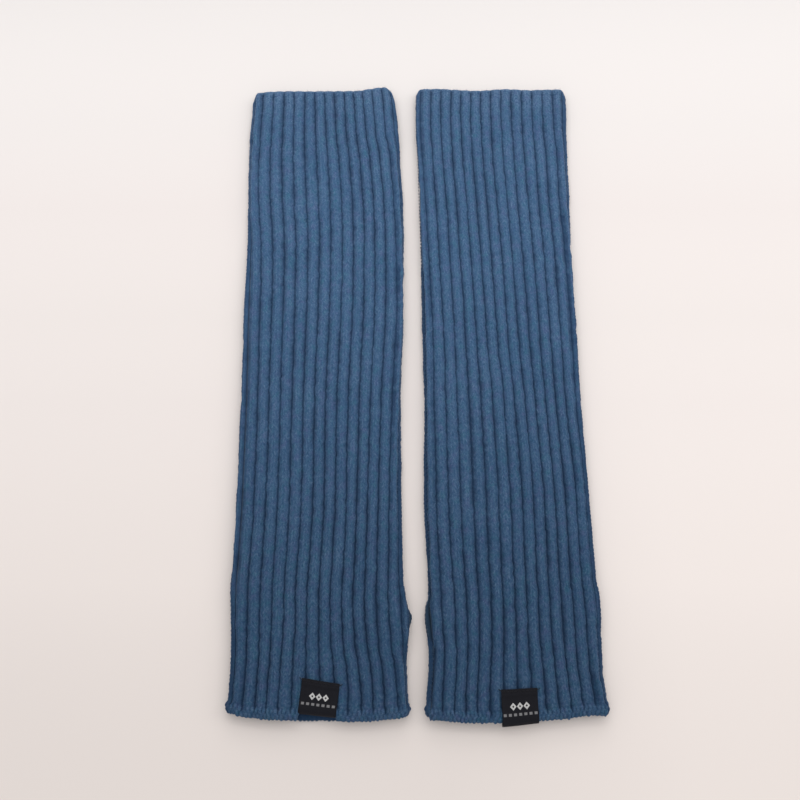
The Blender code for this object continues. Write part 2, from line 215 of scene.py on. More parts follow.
# %% Points on the tube
LABEL_PUSH_RIBS = 0.2
LABEL_PUSH_REACH_RIBS = 5.0
LABEL_PUSH_TOP = 20.0
LABEL_PUSH_FADE = 17.0

# The first rib rolls over the side just above the slit, by this share of a rib.
SEAM_ROLL = {"left": 0.0, "right": 0.34}
SEAM_ROLL_UP = 69.0
SEAM_ROLL_LENGTH = 13.0
SEAM_ROLL_REACH_RIBS = 1.3


def half_round(warmer, along):
    """Length of the section from one side to the other: width - 2 r + pi r."""
    radius = tube(warmer, "height", along) / 2.0
    width = tube(warmer, "width", along)
    return width - 2.0 * radius + math.pi * radius


def ribs_from_seam(ribs):
    """Distance from the thumb seam, in ribs, the shorter way round."""
    return np.abs(np.mod(ribs + RIBS_ON_PANEL, RIBS_ROUND) - RIBS_ON_PANEL)


def rib_place(warmer, ribs, up):
    """Distance round the section of a rib number.

    (ribs + turn + sides cos a + middle cos 2a) half / 15, with a the angle
    that the rib would have on a round tube, a push where the label is and a
    roll of the ribs beside the seam.
    """
    along = HEM_ALONG + up
    turn = tube(warmer, "turn", along)
    sides = tube(warmer, "sides", along)
    middle = tube(warmer, "middle", along)
    angle = 2.0 * math.pi * ribs / RIBS_ROUND
    shift = turn + sides * np.cos(angle) + middle * np.cos(2.0 * angle)
    label_rib = RIBS_ON_PANEL / 2.0 - turn
    across = np.clip((ribs - label_rib) / LABEL_PUSH_REACH_RIBS, -1.0, 1.0)
    height = np.maximum(up - LABEL_PUSH_TOP, 0.0) / LABEL_PUSH_FADE
    shift = shift + LABEL_PUSH_RIBS * np.sin(math.pi * across) * np.exp(-height * height)
    beside = 1.0 - ease(ribs_from_seam(ribs) / SEAM_ROLL_REACH_RIBS)
    rolled = np.exp(-(((up - SEAM_ROLL_UP) / SEAM_ROLL_LENGTH) ** 2)) * beside
    shift = shift - SEAM_ROLL[warmer.name] * rolled
    return (ribs + shift) * half_round(warmer, along) / RIBS_ON_PANEL


def crest(warmer, place, along):
    """Point and outward direction, across and up, on the section.

    A quarter round up from the inner side, a level run over the top, a half
    round down the outer side, the level underside and a quarter round back.
    """
    radius = tube(warmer, "height", along) / 2.0
    flat = tube(warmer, "width", along) / 2.0 - radius
    half = half_round(warmer, along)
    round_length = math.pi * radius / 2.0
    wrapped = np.mod(place + half, 2.0 * half) - half
    above = np.where(wrapped >= 0.0, 1.0, -1.0)
    distance = np.abs(wrapped)
    near = np.minimum(distance, round_length) / radius
    far = np.maximum(distance - (half - round_length), 0.0) / radius
    level = np.clip(distance - round_length, 0.0, 2.0 * flat)
    angle = near + far
    across = flat - level + radius * np.cos(angle)
    height = radius + above * radius * np.sin(angle)
    return across, height, np.cos(angle), above * np.sin(angle)


HEM_DROOP = 0.7
HEM_DROOP_REACH = 14.0
LABEL_PULL_SIDE = 0.9


def wall_points(warmer, layer, place, up, offset, held=None):
    """Points in metres: the section moved out by the offset, with shaped ends.

    Y is moved by the hem's and the elbow's outline, each times 1 - ease(d / 60)
    at a distance d from its end.  The front's hem droops, and is held back
    where its label is.  Nothing goes below the table.
    """
    along = HEM_ALONG + up
    across, height, out_across, out_up = crest(warmer, place, along)
    across = across + offset * out_across
    half_width = tube(warmer, "width", along) / 2.0
    share = np.clip(across / half_width, -1.0, 1.0)
    hem = smooth(warmer.edges, "across", layer, share)
    if layer == "upper":
        height = height - HEM_DROOP * np.maximum(out_up, 0.0) * (1.0 - ease(up / HEM_DROOP_REACH))
        if held is None:
            beside = np.abs(warmer.inward * across - warmer.label.across) - warmer.label.width / 2.0
            held = 1.0 - ease(beside / LABEL_PULL_SIDE + 0.5)
        hem = hem + warmer.label.pull * held
    hem = hem * (1.0 - ease(up / EDGE_REACH))
    height = np.maximum(height + offset * out_up, 0.0)
    elbow = smooth(warmer.edges, "across", "elbow", share)
    elbow = elbow * (1.0 - ease((LENGTH - up) / EDGE_REACH))
    x = tube(warmer, "centre", along) + warmer.inward * across
    return np.stack(np.broadcast_arrays(x, along + hem + elbow, height), axis=-1) * MILLIMETRE


thumb_side = wall_points(WARMERS[0], "upper", 0.0, 51.0, 0.0)
print("left warmer at its thumb slit, metres:", thumb_side.round(4))

# %% [markdown]
# ## Unevenness
#
# Hand-feel comes from small faults: grooves wander, some close up more than
# others, and the tube lies in faint dents where it has been handled.  A noise
# texture could push the surface about, but it would not know a groove from a
# crown.  Seeded knots, one column to a rib, do, and the larger dents are listed
# one by one in a table.


# %% Seeded unevenness and the placed dents
KNOTS = 64


def uneven(seed, across, up):
    """Smooth unevenness from -1 to 1, with a seeded height at every whole number.

    Between four knots it is (1-a)(1-b) k00 + a (1-b) k10 + (1-a) b k01 + a b k11,
    with a and b eased by 3 t^2 - 2 t^3.
    """
    knots = np.random.default_rng(seed).uniform(-1.0, 1.0, (KNOTS, KNOTS))
    left = np.floor(across).astype(int)
    low = np.floor(up).astype(int)
    a = ease(across - left)
    b = ease(up - low)
    near = knots[left % KNOTS, low % KNOTS] * (1.0 - b) + knots[left % KNOTS, (low + 1) % KNOTS] * b
    left = left + 1
    far = knots[left % KNOTS, low % KNOTS] * (1.0 - b) + knots[left % KNOTS, (low + 1) % KNOTS] * b
    return near * (1.0 - a) + far * a


# A layer of unevenness: its own seed, its knots to a rib, their distance up the
# tube in millimetres and its size.
Layer = namedtuple("Layer", "seed knots reach size")

WANDER = (Layer(0, 1.0, 13.0, 0.012), Layer(9, 2.0, 2.2, 0.045), Layer(1, 1.0, 47.0, 0.02))


def layered(warmer, layers, ribs, up):
    """The sum of some layers of unevenness: size uneven(knots ribs, up / reach)."""
    total = 0.0
    for layer in layers:
        total = total + layer.size * uneven(warmer.seed + layer.seed, layer.knots * ribs, up / layer.reach)
    return total


def wander(warmer, ribs, up):
    """How far a groove strays, in ribs: a little over a stitch, and over 13 and 47 mm.

    It fades to nothing at the two side grooves, where the layers meet.
    """
    from_side = np.mod(ribs, RIBS_ON_PANEL)
    from_side = np.minimum(from_side, RIBS_ON_PANEL - from_side)
    return ease(from_side) * layered(warmer, WANDER, ribs, up)


# Place of a dent from the warmer's middle, positive to its inner side, and up
# from the hem, its half length and half width, its lean from the ribs in
# degrees, and its depth, which is negative for a ridge.
Dent = namedtuple("Dent", "across up length width lean depth")

DENTS = {
    "left": (
        Dent(27, 352, 40, 9, -4, 0.30),
        Dent(11, 318, 30, 9, 8, 0.18),
        Dent(-38, 292, 26, 8, 0, -0.25),
        Dent(18, 272, 34, 10, 12, 0.30),
        Dent(-4, 250, 46, 8, 38, -0.26),
        Dent(-13, 198, 28, 9, -6, 0.28),
        Dent(28, 196, 40, 8, 30, -0.26),
        Dent(6, 172, 18, 12, 0, 0.22),
        Dent(-36, 168, 22, 9, 20, 0.26),
        Dent(26, 146, 24, 8, -8, 0.20),
        Dent(-2, 112, 26, 10, 4, -0.22),
        Dent(-24, 96, 22, 9, -14, 0.18),
        Dent(20, 82, 26, 8, 10, 0.16),
        Dent(-10, 54, 20, 11, 0, -0.14),
    ),
    "right": (
        Dent(24, 318, 34, 9, -6, -0.22),
        Dent(-28, 330, 30, 9, 6, 0.20),
        Dent(34, 246, 48, 8, 4, 0.32),
        Dent(2, 262, 30, 8, -24, 0.18),
        Dent(-4, 226, 30, 10, 10, -0.24),
        Dent(-14, 190, 34, 9, -26, -0.24),
        Dent(14, 178, 20, 10, 0, 0.20),
        Dent(22, 148, 24, 10, 12, 0.28),
        Dent(-30, 140, 30, 8, 0, 0.20),
        Dent(25, 84, 18, 9, 18, 0.26),
        Dent(-6, 96, 24, 9, -8, -0.20),
        Dent(-26, 62, 22, 8, 6, 0.18),
    ),
}


def dent_depth(warmer, layer, across, up):
    """Depth of the dents: the sum of depth exp(-(l/length)^2 - (w/width)^2).

    l and w are measured along and across each dent's own lean.  The hidden
    layer has the same ones the other way up and the other way round.
    """
    if layer == "under":
        across = -across
        up = LENGTH - up
    total = np.zeros(np.broadcast(across, up).shape)
    for dent in DENTS[warmer.name]:
        lean = math.radians(dent.lean)
        x = across - dent.across
        y = up - dent.up
        long = (y * math.cos(lean) + x * math.sin(lean)) / dent.length
        wide = (x * math.cos(lean) - y * math.sin(lean)) / dent.width
        total = total + dent.depth * np.exp(-long * long - wide * wide)
    return total


print("dents placed:", {name: len(rows) for name, rows in DENTS.items()})

# %% [markdown]
# ## The knit
#
# Each rib is two wales wide, and a wale is a column of V-shaped stitches.  They
# could be real loops of yarn, but a pair has some twenty thousand stitches and a
# fulled wool shows only their plump outer legs.  So the surface is one grid
# whose rows are bent into Vs: every leg gets a few rows and columns of its own,
# and a small rounded height.  The purl stitches between two ribs are drawn in so
# tightly that they are just a narrow, deep groove.

# %% Stitch sizes
COURSES = 165
COURSE = LENGTH / COURSES
COLUMNS_PER_RIB = 12
V_RISE_COURSES = 1.15
V_FADE_COURSES = 5.0
STITCH_HEIGHT = 0.50
GROOVE_DEPTH = 1.9
GROOVE_POWER = 2.55
GROOVE_FULL = 1.06
FOLD_POWER = 1.3
FOLD_FROM = 5.0
FOLD_FADE = 5.0
SLACK_POWER = 0.45
SLACK_DEPTH = 0.25
CROWN_SWELL = 0.12
SLACK = (Layer(2, 1.0, 9.0, 0.7), Layer(8, 1.0, 50.0, 0.6), Layer(10, 1.0, 2.6, 0.6))
WALL = 2.6
SKIN_GAP = 0.03

# Rows of the skin to one course: the upper layer is the one that is looked at.
ROWS_PER_COURSE = {"upper": 3, "under": 2}
BEAD_COURSES = 3
BEAD_ROWS = 15
print(f"one course is {COURSE:.2f} mm, one wale about 3.1 mm")


# %% Height of ribs and stitches
def from_wale_middle(ribs):
    """Nothing at a wale's middle and one at its two edges: |2 frac(2 ribs) - 1|."""
    return np.abs(2.0 * np.mod(2.0 * ribs, 1.0) - 1.0)


def folded(warmer, place, along):
    """One round the two folded sides, easing to nothing 10 mm along the section."""
    half = half_round(warmer, along)
    distance = np.abs(np.mod(place + half, 2.0 * half) - half)
    return 1.0 - ease((np.minimum(distance, half - distance) - FOLD_FROM) / FOLD_FADE)


def groove(ribs, opened):
    """One in a groove and nothing on a crown: 1.06 |2 frac(ribs) - 1| ^ p, at most one.

    p is 2.55, and less where the knit is stretched open.
    """
    from_crown = np.abs(2.0 * np.mod(ribs, 1.0) - 1.0)
    return np.minimum(GROOVE_FULL * from_crown ** (GROOVE_POWER - opened), 1.0)


def rib_height(warmer, place, ribs, up):
    """Crown times 1 - (2 frac(ribs) - 1)^2, less the groove's depth.

    The depth differs by about a quarter along every groove, and the crown swells
    and sinks by a tenth of a millimetre.  A groove is open at the folds, and
    opens and closes by itself elsewhere.
    """
    slack = layered(warmer, SLACK, np.round(ribs), up)
    opened = FOLD_POWER * folded(warmer, place, HEM_ALONG + up) + SLACK_POWER * slack
    crown = CROWN_SWELL * uneven(warmer.seed + 3, np.floor(ribs + 1e-6), up / 17.0)
    side = (2.0 * np.mod(ribs, 1.0) - 1.0) ** 2
    return crown * (1.0 - side) - GROOVE_DEPTH * (1.0 + SLACK_DEPTH * slack) * groove(ribs, opened)


def stitch_height(warmer, ribs, phase):
    """Rounded legs: (0.45 + 0.55 sqrt(1 - 0.96 p^2)) (1 - 0.85 |q|^3), less its mean.

    p runs from -1 to 1 over one leg's thickness and q over its length, and every
    leg has its own seeded plumpness.
    """
    p = 2.0 * np.mod(phase, 1.0) - 1.0
    q = 2.0 * from_wale_middle(ribs) - 1.0
    plump = np.random.default_rng(warmer.seed + 4).uniform(0.7, 1.3, (128, 256))
    leg = np.floor(4.0 * ribs + 1e-6).astype(int) % 128
    course = np.floor(phase + 1e-6).astype(int) % 256
    rounded = 0.45 + 0.55 * np.sqrt(np.maximum(1.0 - 0.96 * p * p, 0.0))
    legs = rounded * (1.0 - 0.85 * np.abs(q) ** 3)
    return STITCH_HEIGHT * (legs * plump[leg, course] - 0.6)


print("deepest groove, mm:", round(GROOVE_DEPTH * (1.0 + SLACK_DEPTH), 2))

# %% [markdown]
# The cast-off edge is a plump chain.  Its loops are wider than the stitches,
# lean to one side and differ in size.  At the elbow the ribs simply turn over
# the rim.  Both are read from short tables, as distances from the edge.

# %% Finish of the two ends
# Distance from an edge, how far the surface stands out, and the shares of the
# ribs, of the stitches and of the chain's loops that show there.
EndRow = namedtuple("EndRow", "distance rise ribs knit chain")

HEM_FINISH = (
    EndRow(0.0, -0.60, 0.05, 0.0, 0.9),
    EndRow(0.8, 0.02, 0.08, 0.0, 1.0),
    EndRow(1.8, 0.28, 0.16, 0.0, 1.0),
    EndRow(3.0, 0.32, 0.34, 0.0, 1.0),
    EndRow(4.2, 0.20, 0.62, 0.2, 0.8),
    EndRow(5.4, 0.02, 0.88, 0.6, 0.35),
    EndRow(6.6, -0.08, 1.00, 0.9, 0.0),
    EndRow(8.4, 0.00, 1.00, 1.0, 0.0),
)

ELBOW_FINISH = (
    EndRow(0.0, -0.75, 0.25, 0.5, 0.0),
    EndRow(0.8, -0.22, 0.55, 0.8, 0.0),
    EndRow(2.2, 0.02, 0.88, 1.0, 0.0),
    EndRow(4.0, 0.00, 1.00, 1.0, 0.0),
)

# The chain's two rows of loops: their middle up from the edge, half their
# height, their lean in loops a millimetre, and how far they are shifted.
ChainRow = namedtuple("ChainRow", "middle half lean shift")

CHAIN_ROWS = (
    ChainRow(3.6, 2.0, 0.07, 0.0),
    ChainRow(0.7, 2.0, -0.10, 0.5),
)
CHAINS_PER_RIB = 3
CHAIN_HEIGHT = 1.15
GROOVE_STRAY = 1.4
print("loops in the chain of one warmer:", len(CHAIN_ROWS) * CHAINS_PER_RIB * RIBS_ROUND)


def chain_height(warmer, ribs, up):
    """Plump loops in two rows that lean opposite ways, less their mean.

    A loop is size sqrt(1 - x^2 - y^2), with x and y running from -1 to 1 over its
    width and height and a seeded size, and the higher of two loops shows.
    """
    size = np.random.default_rng(warmer.seed + 5).uniform(0.45, 1.25, (2, 256))
    highest = np.zeros(np.broadcast(ribs, up).shape)
    for row, sizes in zip(CHAIN_ROWS, size):
        count = CHAINS_PER_RIB * ribs + row.lean * (up - row.middle) + row.shift
        x = 2.0 * np.mod(count, 1.0) - 1.0
        y = (up - row.middle) / row.half
        loop = np.sqrt(np.maximum(1.0 - x * x - y * y, 0.0))
        highest = np.maximum(highest, loop * sizes[np.floor(count).astype(int) % 256])
    return CHAIN_HEIGHT * (highest - 0.5)


SLIT_MIDDLE = 51.0
SLIT_HALF = 15.5


def slit_opening(up):
    """One in the middle of the thumb slit, 1 - ((up - 51) / 15.5)^2, nothing outside."""
    place = (up - SLIT_MIDDLE) / SLIT_HALF
    return np.maximum(1.0 - place * place, 0.0)


# How high a label rides over the chain, by distance up from the hem.
Ride = namedtuple("Ride", "distance rise")

LABEL_RIDE = (
    Ride(-4.0, -0.60),
    Ride(0.4, 0.45),
    Ride(2.4, 0.62),
    Ride(5.4, 0.22),
    Ride(9.0, 0.05),
)


# Painted shade from depth: darker where the knit lies below its crowns, in grooves and between the chain's
# loops.
SHADE_TOP = 0.3
SHADE_DEPTH = 2.2
SHADE_OF_CHAIN = 2.4
# Painted shade on the two folded sides of each tube.
PAINTED_SHADE_OF_SIDE = 0.85
SIDE_SHADE_FROM = 0.35
SIDE_SHADE_TO = 0.80
# Painted shade at the lips of the thumb slit, whose inside lies in shade.
LIP_PAINTED_SHADE = 1.6
LIP_SHADE_REACH = {"upper": 0.3, "under": 1.4}
LIP_REACH = 0.5
LIP_FLATTENING = 0.6
LABEL_PRESS_EDGE = 0.8
LABEL_PRESS_TOP = 15.5
LABEL_PRESS_FADE = 1.5
LABEL_PRESS_GAP = 0.1


def lip_painted_shade(layer, ribs, up):
    """Painted shade at the slit: 1.6 sqrt(opening) (1 - ease(r / reach)), at r ribs from the slit, so over
    one at a lip.
    """
    near = 1.0 - ease(ribs_from_seam(ribs) / LIP_SHADE_REACH[layer])
    return LIP_PAINTED_SHADE * np.sqrt(slit_opening(up)) * near


def skin_height(warmer, layer, place, ribs, up, phase):
    """How far the skin's outer side stands from the section, in millimetres.

    The ribs are nearly flat at the lips of the slit, as a knitted edge is, each
    groove dies in the chain at its own place, and the sewn label presses down
    what lies under it.  The painted shade beside it is nothing on a crown, one at
    the foot of a groove, up to 0.85 on the folded sides and over one at the lips,
    where the slit lies in shade.
    """
    down = LENGTH - up
    strayed = up + GROOVE_STRAY * uneven(warmer.seed + 6, np.round(ribs), 0.0 * up)

    def finish(name, at=up):
        return smooth(HEM_FINISH, "distance", name, at) * smooth(ELBOW_FINISH, "distance", name, down)

    rise = smooth(HEM_FINISH, "distance", "rise", up) + smooth(ELBOW_FINISH, "distance", "rise", down)
    lip = np.sqrt(slit_opening(up)) * (1.0 - ease(ribs_from_seam(ribs) / LIP_REACH))
    across, _, sideways, _ = crest(warmer, place, HEM_ALONG + up)
    folds = finish("ribs", strayed) * rib_height(warmer, place, ribs, up) * (1.0 - LIP_FLATTENING * lip)
    legs = finish("knit") * stitch_height(warmer, ribs, phase)
    loops = smooth(HEM_FINISH, "distance", "chain", up) * chain_height(warmer, ribs, up)
    height = rise + folds + legs + loops
    # Painted shade in grooves and between the chain's loops, by depth below the crown.
    hollow = np.clip((SHADE_TOP - folds - legs - SHADE_OF_CHAIN * loops) / SHADE_DEPTH, 0.0, 1.0)
    # Painted shade at the lips of the thumb slit.
    hollow = np.maximum(hollow, lip_painted_shade(layer, ribs, up))
    # Painted shade on the two folded sides.
    folded_side = (np.abs(sideways) - SIDE_SHADE_FROM) / (SIDE_SHADE_TO - SIDE_SHADE_FROM)
    hollow = np.maximum(hollow, PAINTED_SHADE_OF_SIDE * ease(folded_side))
    if layer == "upper":
        label = warmer.label
        from_label = warmer.inward * across - label.across - label.lean * up
        under = 1.0 - ease((np.abs(from_label) - label.width / 2.0) / LABEL_PRESS_EDGE)
        under = under * (1.0 - ease((up - LABEL_PRESS_TOP) / LABEL_PRESS_FADE))
        pressed = np.minimum(height, smooth(LABEL_RIDE, "distance", "rise", up) + LABEL_PRESS_GAP)
        height = height + under * (pressed - height)
    return height - dent_depth(warmer, layer, across, up), hollow


# %% [markdown]
# A skin has to be a closed shell, or it would be see-through at its edges.  The
# grid of its outer side is carried round the elbow rim, back down the inside in
# a few plain rows and round the hem again, so only its two long sides are left
# to close.


# %% One knitted skin
RIM_STEPS = 4
INNER_ROWS = 25
RIM_BULGE = 0.5
RIM_SCALLOP = {"hem": 1.0, "elbow": 0.12}
WALL_END_TAPER = 0.6
# Painted shade on the whole inner side of a skin, which lies in shade.
INNER_PAINTED_SHADE = 0.9


def layer_ribs(layer):
    """Rib numbers of a skin's columns."""
    first = 0 if layer == "upper" else RIBS_ON_PANEL
    return first + np.arange(RIBS_ON_PANEL * COLUMNS_PER_RIB + 1) / COLUMNS_PER_RIB


def skin_place(warmer, layer, ribs, up):
    """Distance round the section of every column, a hair in at its two sides.

    At the slit a lip draws back by d (1 - ease(r / reach)) at r ribs from it,
    with a reach of half a rib a millimetre, but at least one.
    """
    place = rib_place(warmer, ribs + wander(warmer, ribs, up), up)
    place[:, 0] += SKIN_GAP / 2.0
    place[:, -1] -= SKIN_GAP / 2.0
    drawn = warmer.lips[layer]
    from_lip = ribs if layer == "upper" else RIBS_ROUND - ribs
    back = drawn * slit_opening(up) * (1.0 - ease(from_lip / max(drawn / 2.0, 1.0)))
    return place + (back if layer == "upper" else -back)


def outer_side(warmer, layer):
    """Outer points, their UV, their way up, their height and their painted shade.

    A row has one phase, and lies phase + 1.15 w |2 frac(2 ribs) - 1| courses up,
    with w falling to nothing at both ends.
    """
    ribs = layer_ribs(layer)[np.newaxis, :]
    body = BEAD_COURSES + np.arange(0, (COURSES - BEAD_COURSES) * ROWS_PER_COURSE[layer] + 1) / (
        ROWS_PER_COURSE[layer]
    )
    phase = np.concatenate([np.linspace(0, BEAD_COURSES, BEAD_ROWS, endpoint=False), body])
    phase = phase[:, np.newaxis]
    window = ease((phase - 1.5) / V_FADE_COURSES) * ease((COURSES - phase) / V_FADE_COURSES)
    up = COURSE * (phase + V_RISE_COURSES * window * from_wale_middle(ribs))
    ribs = ribs + np.zeros_like(up)
    place = skin_place(warmer, layer, ribs, up)
    height, hollow = skin_height(warmer, layer, place, ribs, up, phase + np.zeros_like(up))
    points = wall_points(warmer, layer, place, up, height)
    return points, np.stack([ribs, phase + np.zeros_like(up)], axis=-1), up, height, hollow


def inner_side(warmer, layer):
    """Plain inner points, from the elbow end down, with their UV."""
    ribs = layer_ribs(layer)[np.newaxis, :]
    end = np.array([0.0, 1.2, 3.0, 6.0])
    middle = np.linspace(12.0, LENGTH - 12.0, INNER_ROWS - 2 * len(end))
    up = np.concatenate([LENGTH - end, middle[::-1], end[::-1]])[:, np.newaxis]
    up = up + np.zeros_like(ribs)
    ribs = ribs + np.zeros_like(up)
    place = skin_place(warmer, layer, ribs, up)
    near_end = np.minimum(up, LENGTH - up)
    offset = -WALL + WALL_END_TAPER * (1.0 - ease(near_end / 3.0))
    if layer == "upper":
        offset = offset - dent_depth(warmer, layer, crest(warmer, place, HEM_ALONG + up)[0], up)
    points = wall_points(warmer, layer, place, up, offset)
    return points, np.stack([ribs, up / COURSE], axis=-1), up, offset


def rim(warmer, layer, up, outer_height, inner_height):
    """Half round from the outer to the inner side at one end.

    The height is m + h cos t and the reach is r sin t, with t from 0 to pi, and
    r grows with the outer side's height, so that loops and ribs scallop the edge.
    """
    turn = (math.pi * np.arange(1, RIM_STEPS + 1) / (RIM_STEPS + 1))[:, np.newaxis]
    middle = (outer_height + inner_height)[np.newaxis, :] / 2.0
    half = (outer_height - inner_height)[np.newaxis, :] / 2.0
    ribs = layer_ribs(layer)[np.newaxis, :] + np.zeros_like(turn)
    at = np.full_like(ribs, up)
    place = skin_place(warmer, layer, ribs, at)
    points = wall_points(warmer, layer, place, at, middle + half * np.cos(turn))
    outward = -1.0 if up < LENGTH / 2.0 else 1.0
    scallop = RIM_SCALLOP["hem" if up < LENGTH / 2.0 else "elbow"]
    reach = np.maximum(RIM_BULGE + scallop * (half - half.mean()) * 2.0, 0.15)
    points[:, :, 1] += outward * reach * np.sin(turn) * MILLIMETRE
    course = at / COURSE + outward * np.sin(turn)
    return points, np.stack([ribs, course], axis=-1)


def side_faces(column_index, columns, outer_up, inner_up, ascending):
    """Faces that close one long side: each spans an inner row and the outer rows beside it."""
    rows = len(outer_up)
    first_inner = rows + RIM_STEPS
    last_inner = first_inner + len(inner_up) - 1
    total = last_inner + RIM_STEPS + 1
    beside = np.searchsorted(outer_up, inner_up)
    beside[0] = rows - 1
    beside[-1] = 0
    loops = [list(range(rows - 1, first_inner + 1)), list(range(last_inner, total)) + [0]]
    for step in range(len(inner_up) - 1):
        outer = list(range(beside[step + 1], beside[step] + 1))
        loops.append(outer + [first_inner + step, first_inner + step + 1])
    faces = [[row * columns + column_index for row in loop] for loop in loops]
    return faces if ascending else [face[::-1] for face in faces]


def new_piece(name, points, faces, uv, uv_name, hollow=None):
    """A smooth mesh object at the origin, with a UV map and perhaps its painted shade."""
    mesh = bpy.data.meshes.new(name)
    mesh.from_pydata(points.reshape(-1, 3), [], faces)
    layer = mesh.uv_layers.new(name=uv_name)
    corner = np.empty(len(mesh.loops), dtype=np.int32)
    mesh.loops.foreach_get("vertex_index", corner)
    layer.data.foreach_set("uv", uv.reshape(-1, 2)[corner].astype(np.float32).ravel())
    if hollow is not None:
        depth = mesh.attributes.new("hollow", "FLOAT", "POINT")
        depth.data.foreach_set("value", hollow.astype(np.float32).ravel())
    mesh.shade_smooth()
    piece = bpy.data.objects.new(name, mesh)
    bpy.context.scene.collection.objects.link(piece)
    return piece


def measure(piece):
    """Triangles, volume in cubic centimetres and area in square centimetres."""
    mesh = piece.data
    mesh.calc_loop_triangles()
    corner = np.empty(len(mesh.loop_triangles) * 3, dtype=np.int32)
    mesh.loop_triangles.foreach_get("vertices", corner)
    points = np.empty(len(mesh.vertices) * 3)
    mesh.vertices.foreach_get("co", points)
    a, b, c = np.moveaxis(points.reshape(-1, 3)[corner.reshape(-1, 3)], 1, 0)
    volume = float((a * np.cross(b, c)).sum() / 6.0)
    area = float(np.linalg.norm(np.cross(b - a, c - a), axis=1).sum() / 2.0)
    print(f"{piece.name}: {len(corner) // 3} triangles, {volume * 1e6:.3f} cm3, {area * 1e4:.0f} cm2")


def knit_skin(warmer, layer, name):
    """One layer of a warmer as a closed shell of stitches."""
    outer, outer_uv, outer_up, outer_height, hollow = outer_side(warmer, layer)
    inner, inner_uv, inner_up, inner_height = inner_side(warmer, layer)
    elbow, elbow_uv = rim(warmer, layer, LENGTH, outer_height[-1], inner_height[0])
    hem, hem_uv = rim(warmer, layer, 0.0, outer_height[0], inner_height[-1])
    points = np.concatenate([outer, elbow, inner, hem[::-1]])
    uv = np.concatenate([outer_uv, elbow_uv, inner_uv, hem_uv[::-1]])
    fade = np.linspace(1.0, 0.0, RIM_STEPS + 2)[1:-1, np.newaxis]
    # Painted shade on the inside, blended into the outer side's over the two rims.
    inner_shade_at_rims = INNER_PAINTED_SHADE * (1.0 - fade)
    plain = np.maximum(lip_painted_shade(layer, inner_uv[..., 0], inner_up), INNER_PAINTED_SHADE)
    elbow_shade = hollow[-1] * fade + inner_shade_at_rims
    hem_shade = (hollow[0] * fade + inner_shade_at_rims)[::-1]
    hollow = np.concatenate([hollow, elbow_shade, plain, hem_shade])
    rows, columns = points.shape[:2]
    index = np.arange(rows * columns).reshape(rows, columns)
    above = np.roll(index, -1, axis=0)
    quads = np.stack([index[:, :-1], index[:, 1:], above[:, 1:], above[:, :-1]], axis=-1)
    faces = quads.reshape(-1, 4).tolist()
    faces += side_faces(0, columns, outer_up[:, 0], inner_up[:, 0], True)
    faces += side_faces(columns - 1, columns, outer_up[:, -1], inner_up[:, -1], False)
    if warmer.inward > 0.0:
        faces = [face[::-1] for face in faces]
    piece = new_piece(name, points, faces, uv, "knit", hollow)
    measure(piece)
    return piece


skins = {}
for warmer in WARMERS:
    skins[warmer.name, "upper"] = knit_skin(warmer, "upper", warmer.name + "_front_knit")
    skins[warmer.name, "under"] = knit_skin(warmer, "under", warmer.name + "_back_knit")

# %% [markdown]
# ## The labels
#
# Each label is a strip of black satin-woven tape.  Its top is turned under and
# sewn to the front, it rides over the chain and folds round the hem.  It is made
# from the front's own section, so it lies on the crowns of the ribs wherever
# they are, and it sags a little between them.

# %% Two woven labels
LABEL_THICKNESS = 0.5
LABEL_CLEARANCE = 0.35
LABEL_TURN = 4.0
LABEL_TURN_RISE = 0.30
LABEL_SAG = 0.12

# Place along the strip, height above the fold, and how far it has gone from the
# outer leaf to the inner one.
LabelRow = namedtuple("LabelRow", "step above inward")

LABEL_ROWS = (
    LabelRow(0, 16.8, 0.00),
    LabelRow(1, 12.5, 0.00),
    LabelRow(2, 9.0, 0.00),
    LabelRow(3, 6.5, 0.00),
    LabelRow(4, 4.6, 0.00),
    LabelRow(5, 3.0, 0.00),
    LabelRow(6, 1.6, 0.02),
    LabelRow(7, 0.4, 0.10),
    LabelRow(8, -0.4, 0.30),
    LabelRow(9, -0.7, 0.55),
    LabelRow(10, -0.4, 0.80),
    LabelRow(11, 0.6, 0.97),
    LabelRow(12, 2.6, 1.00),
    LabelRow(13, 5.5, 1.00),
)

LABEL_LONG = 73
LABEL_WIDE = 33


def label_points(warmer, above, inward, side, lift=0.0):
    """Points of a label's middle surface, and how far its top is turned under.

    At a height h above the fold and a distance s from its middle, a point is
    up = h - overhang + slope s and across = middle + s + lean h, and the slope
    goes from the fold's to the top's.
    """
    label = warmer.label
    slope = label.tilt + (label.top_tilt - label.tilt) * above / LABEL_ROWS[0].above
    up = above - label.overhang + slope * side
    across = label.across + side + label.lean * above
    along = HEM_ALONG + np.clip(up, 0.0, None)
    radius = tube(warmer, "height", along) / 2.0
    half_width = tube(warmer, "width", along) / 2.0
    place = half_width - warmer.inward * across + (math.pi / 2.0 - 1.0) * radius
    gap = LABEL_CLEARANCE + LABEL_THICKNESS / 2.0
    turned = ease((above - (LABEL_ROWS[0].above - LABEL_TURN)) / 0.5)
    wave = np.sin(2.0 * math.pi * (place / (half_round(warmer, along) / RIBS_ON_PANEL)))
    sag = LABEL_SAG * (wave - 0.6) * ease((above - 3.0) / 4.0)
    outside = smooth(LABEL_RIDE, "distance", "rise", up) + gap + sag + turned * LABEL_TURN_RISE + lift
    offset = outside * (1.0 - inward) + (-WALL - gap) * inward
    points = wall_points(warmer, "upper", place, np.maximum(up, 0.0), offset, held=1.0)
    points[..., 1] += np.minimum(up, 0.0) * MILLIMETRE
    return points, turned + np.zeros_like(up)


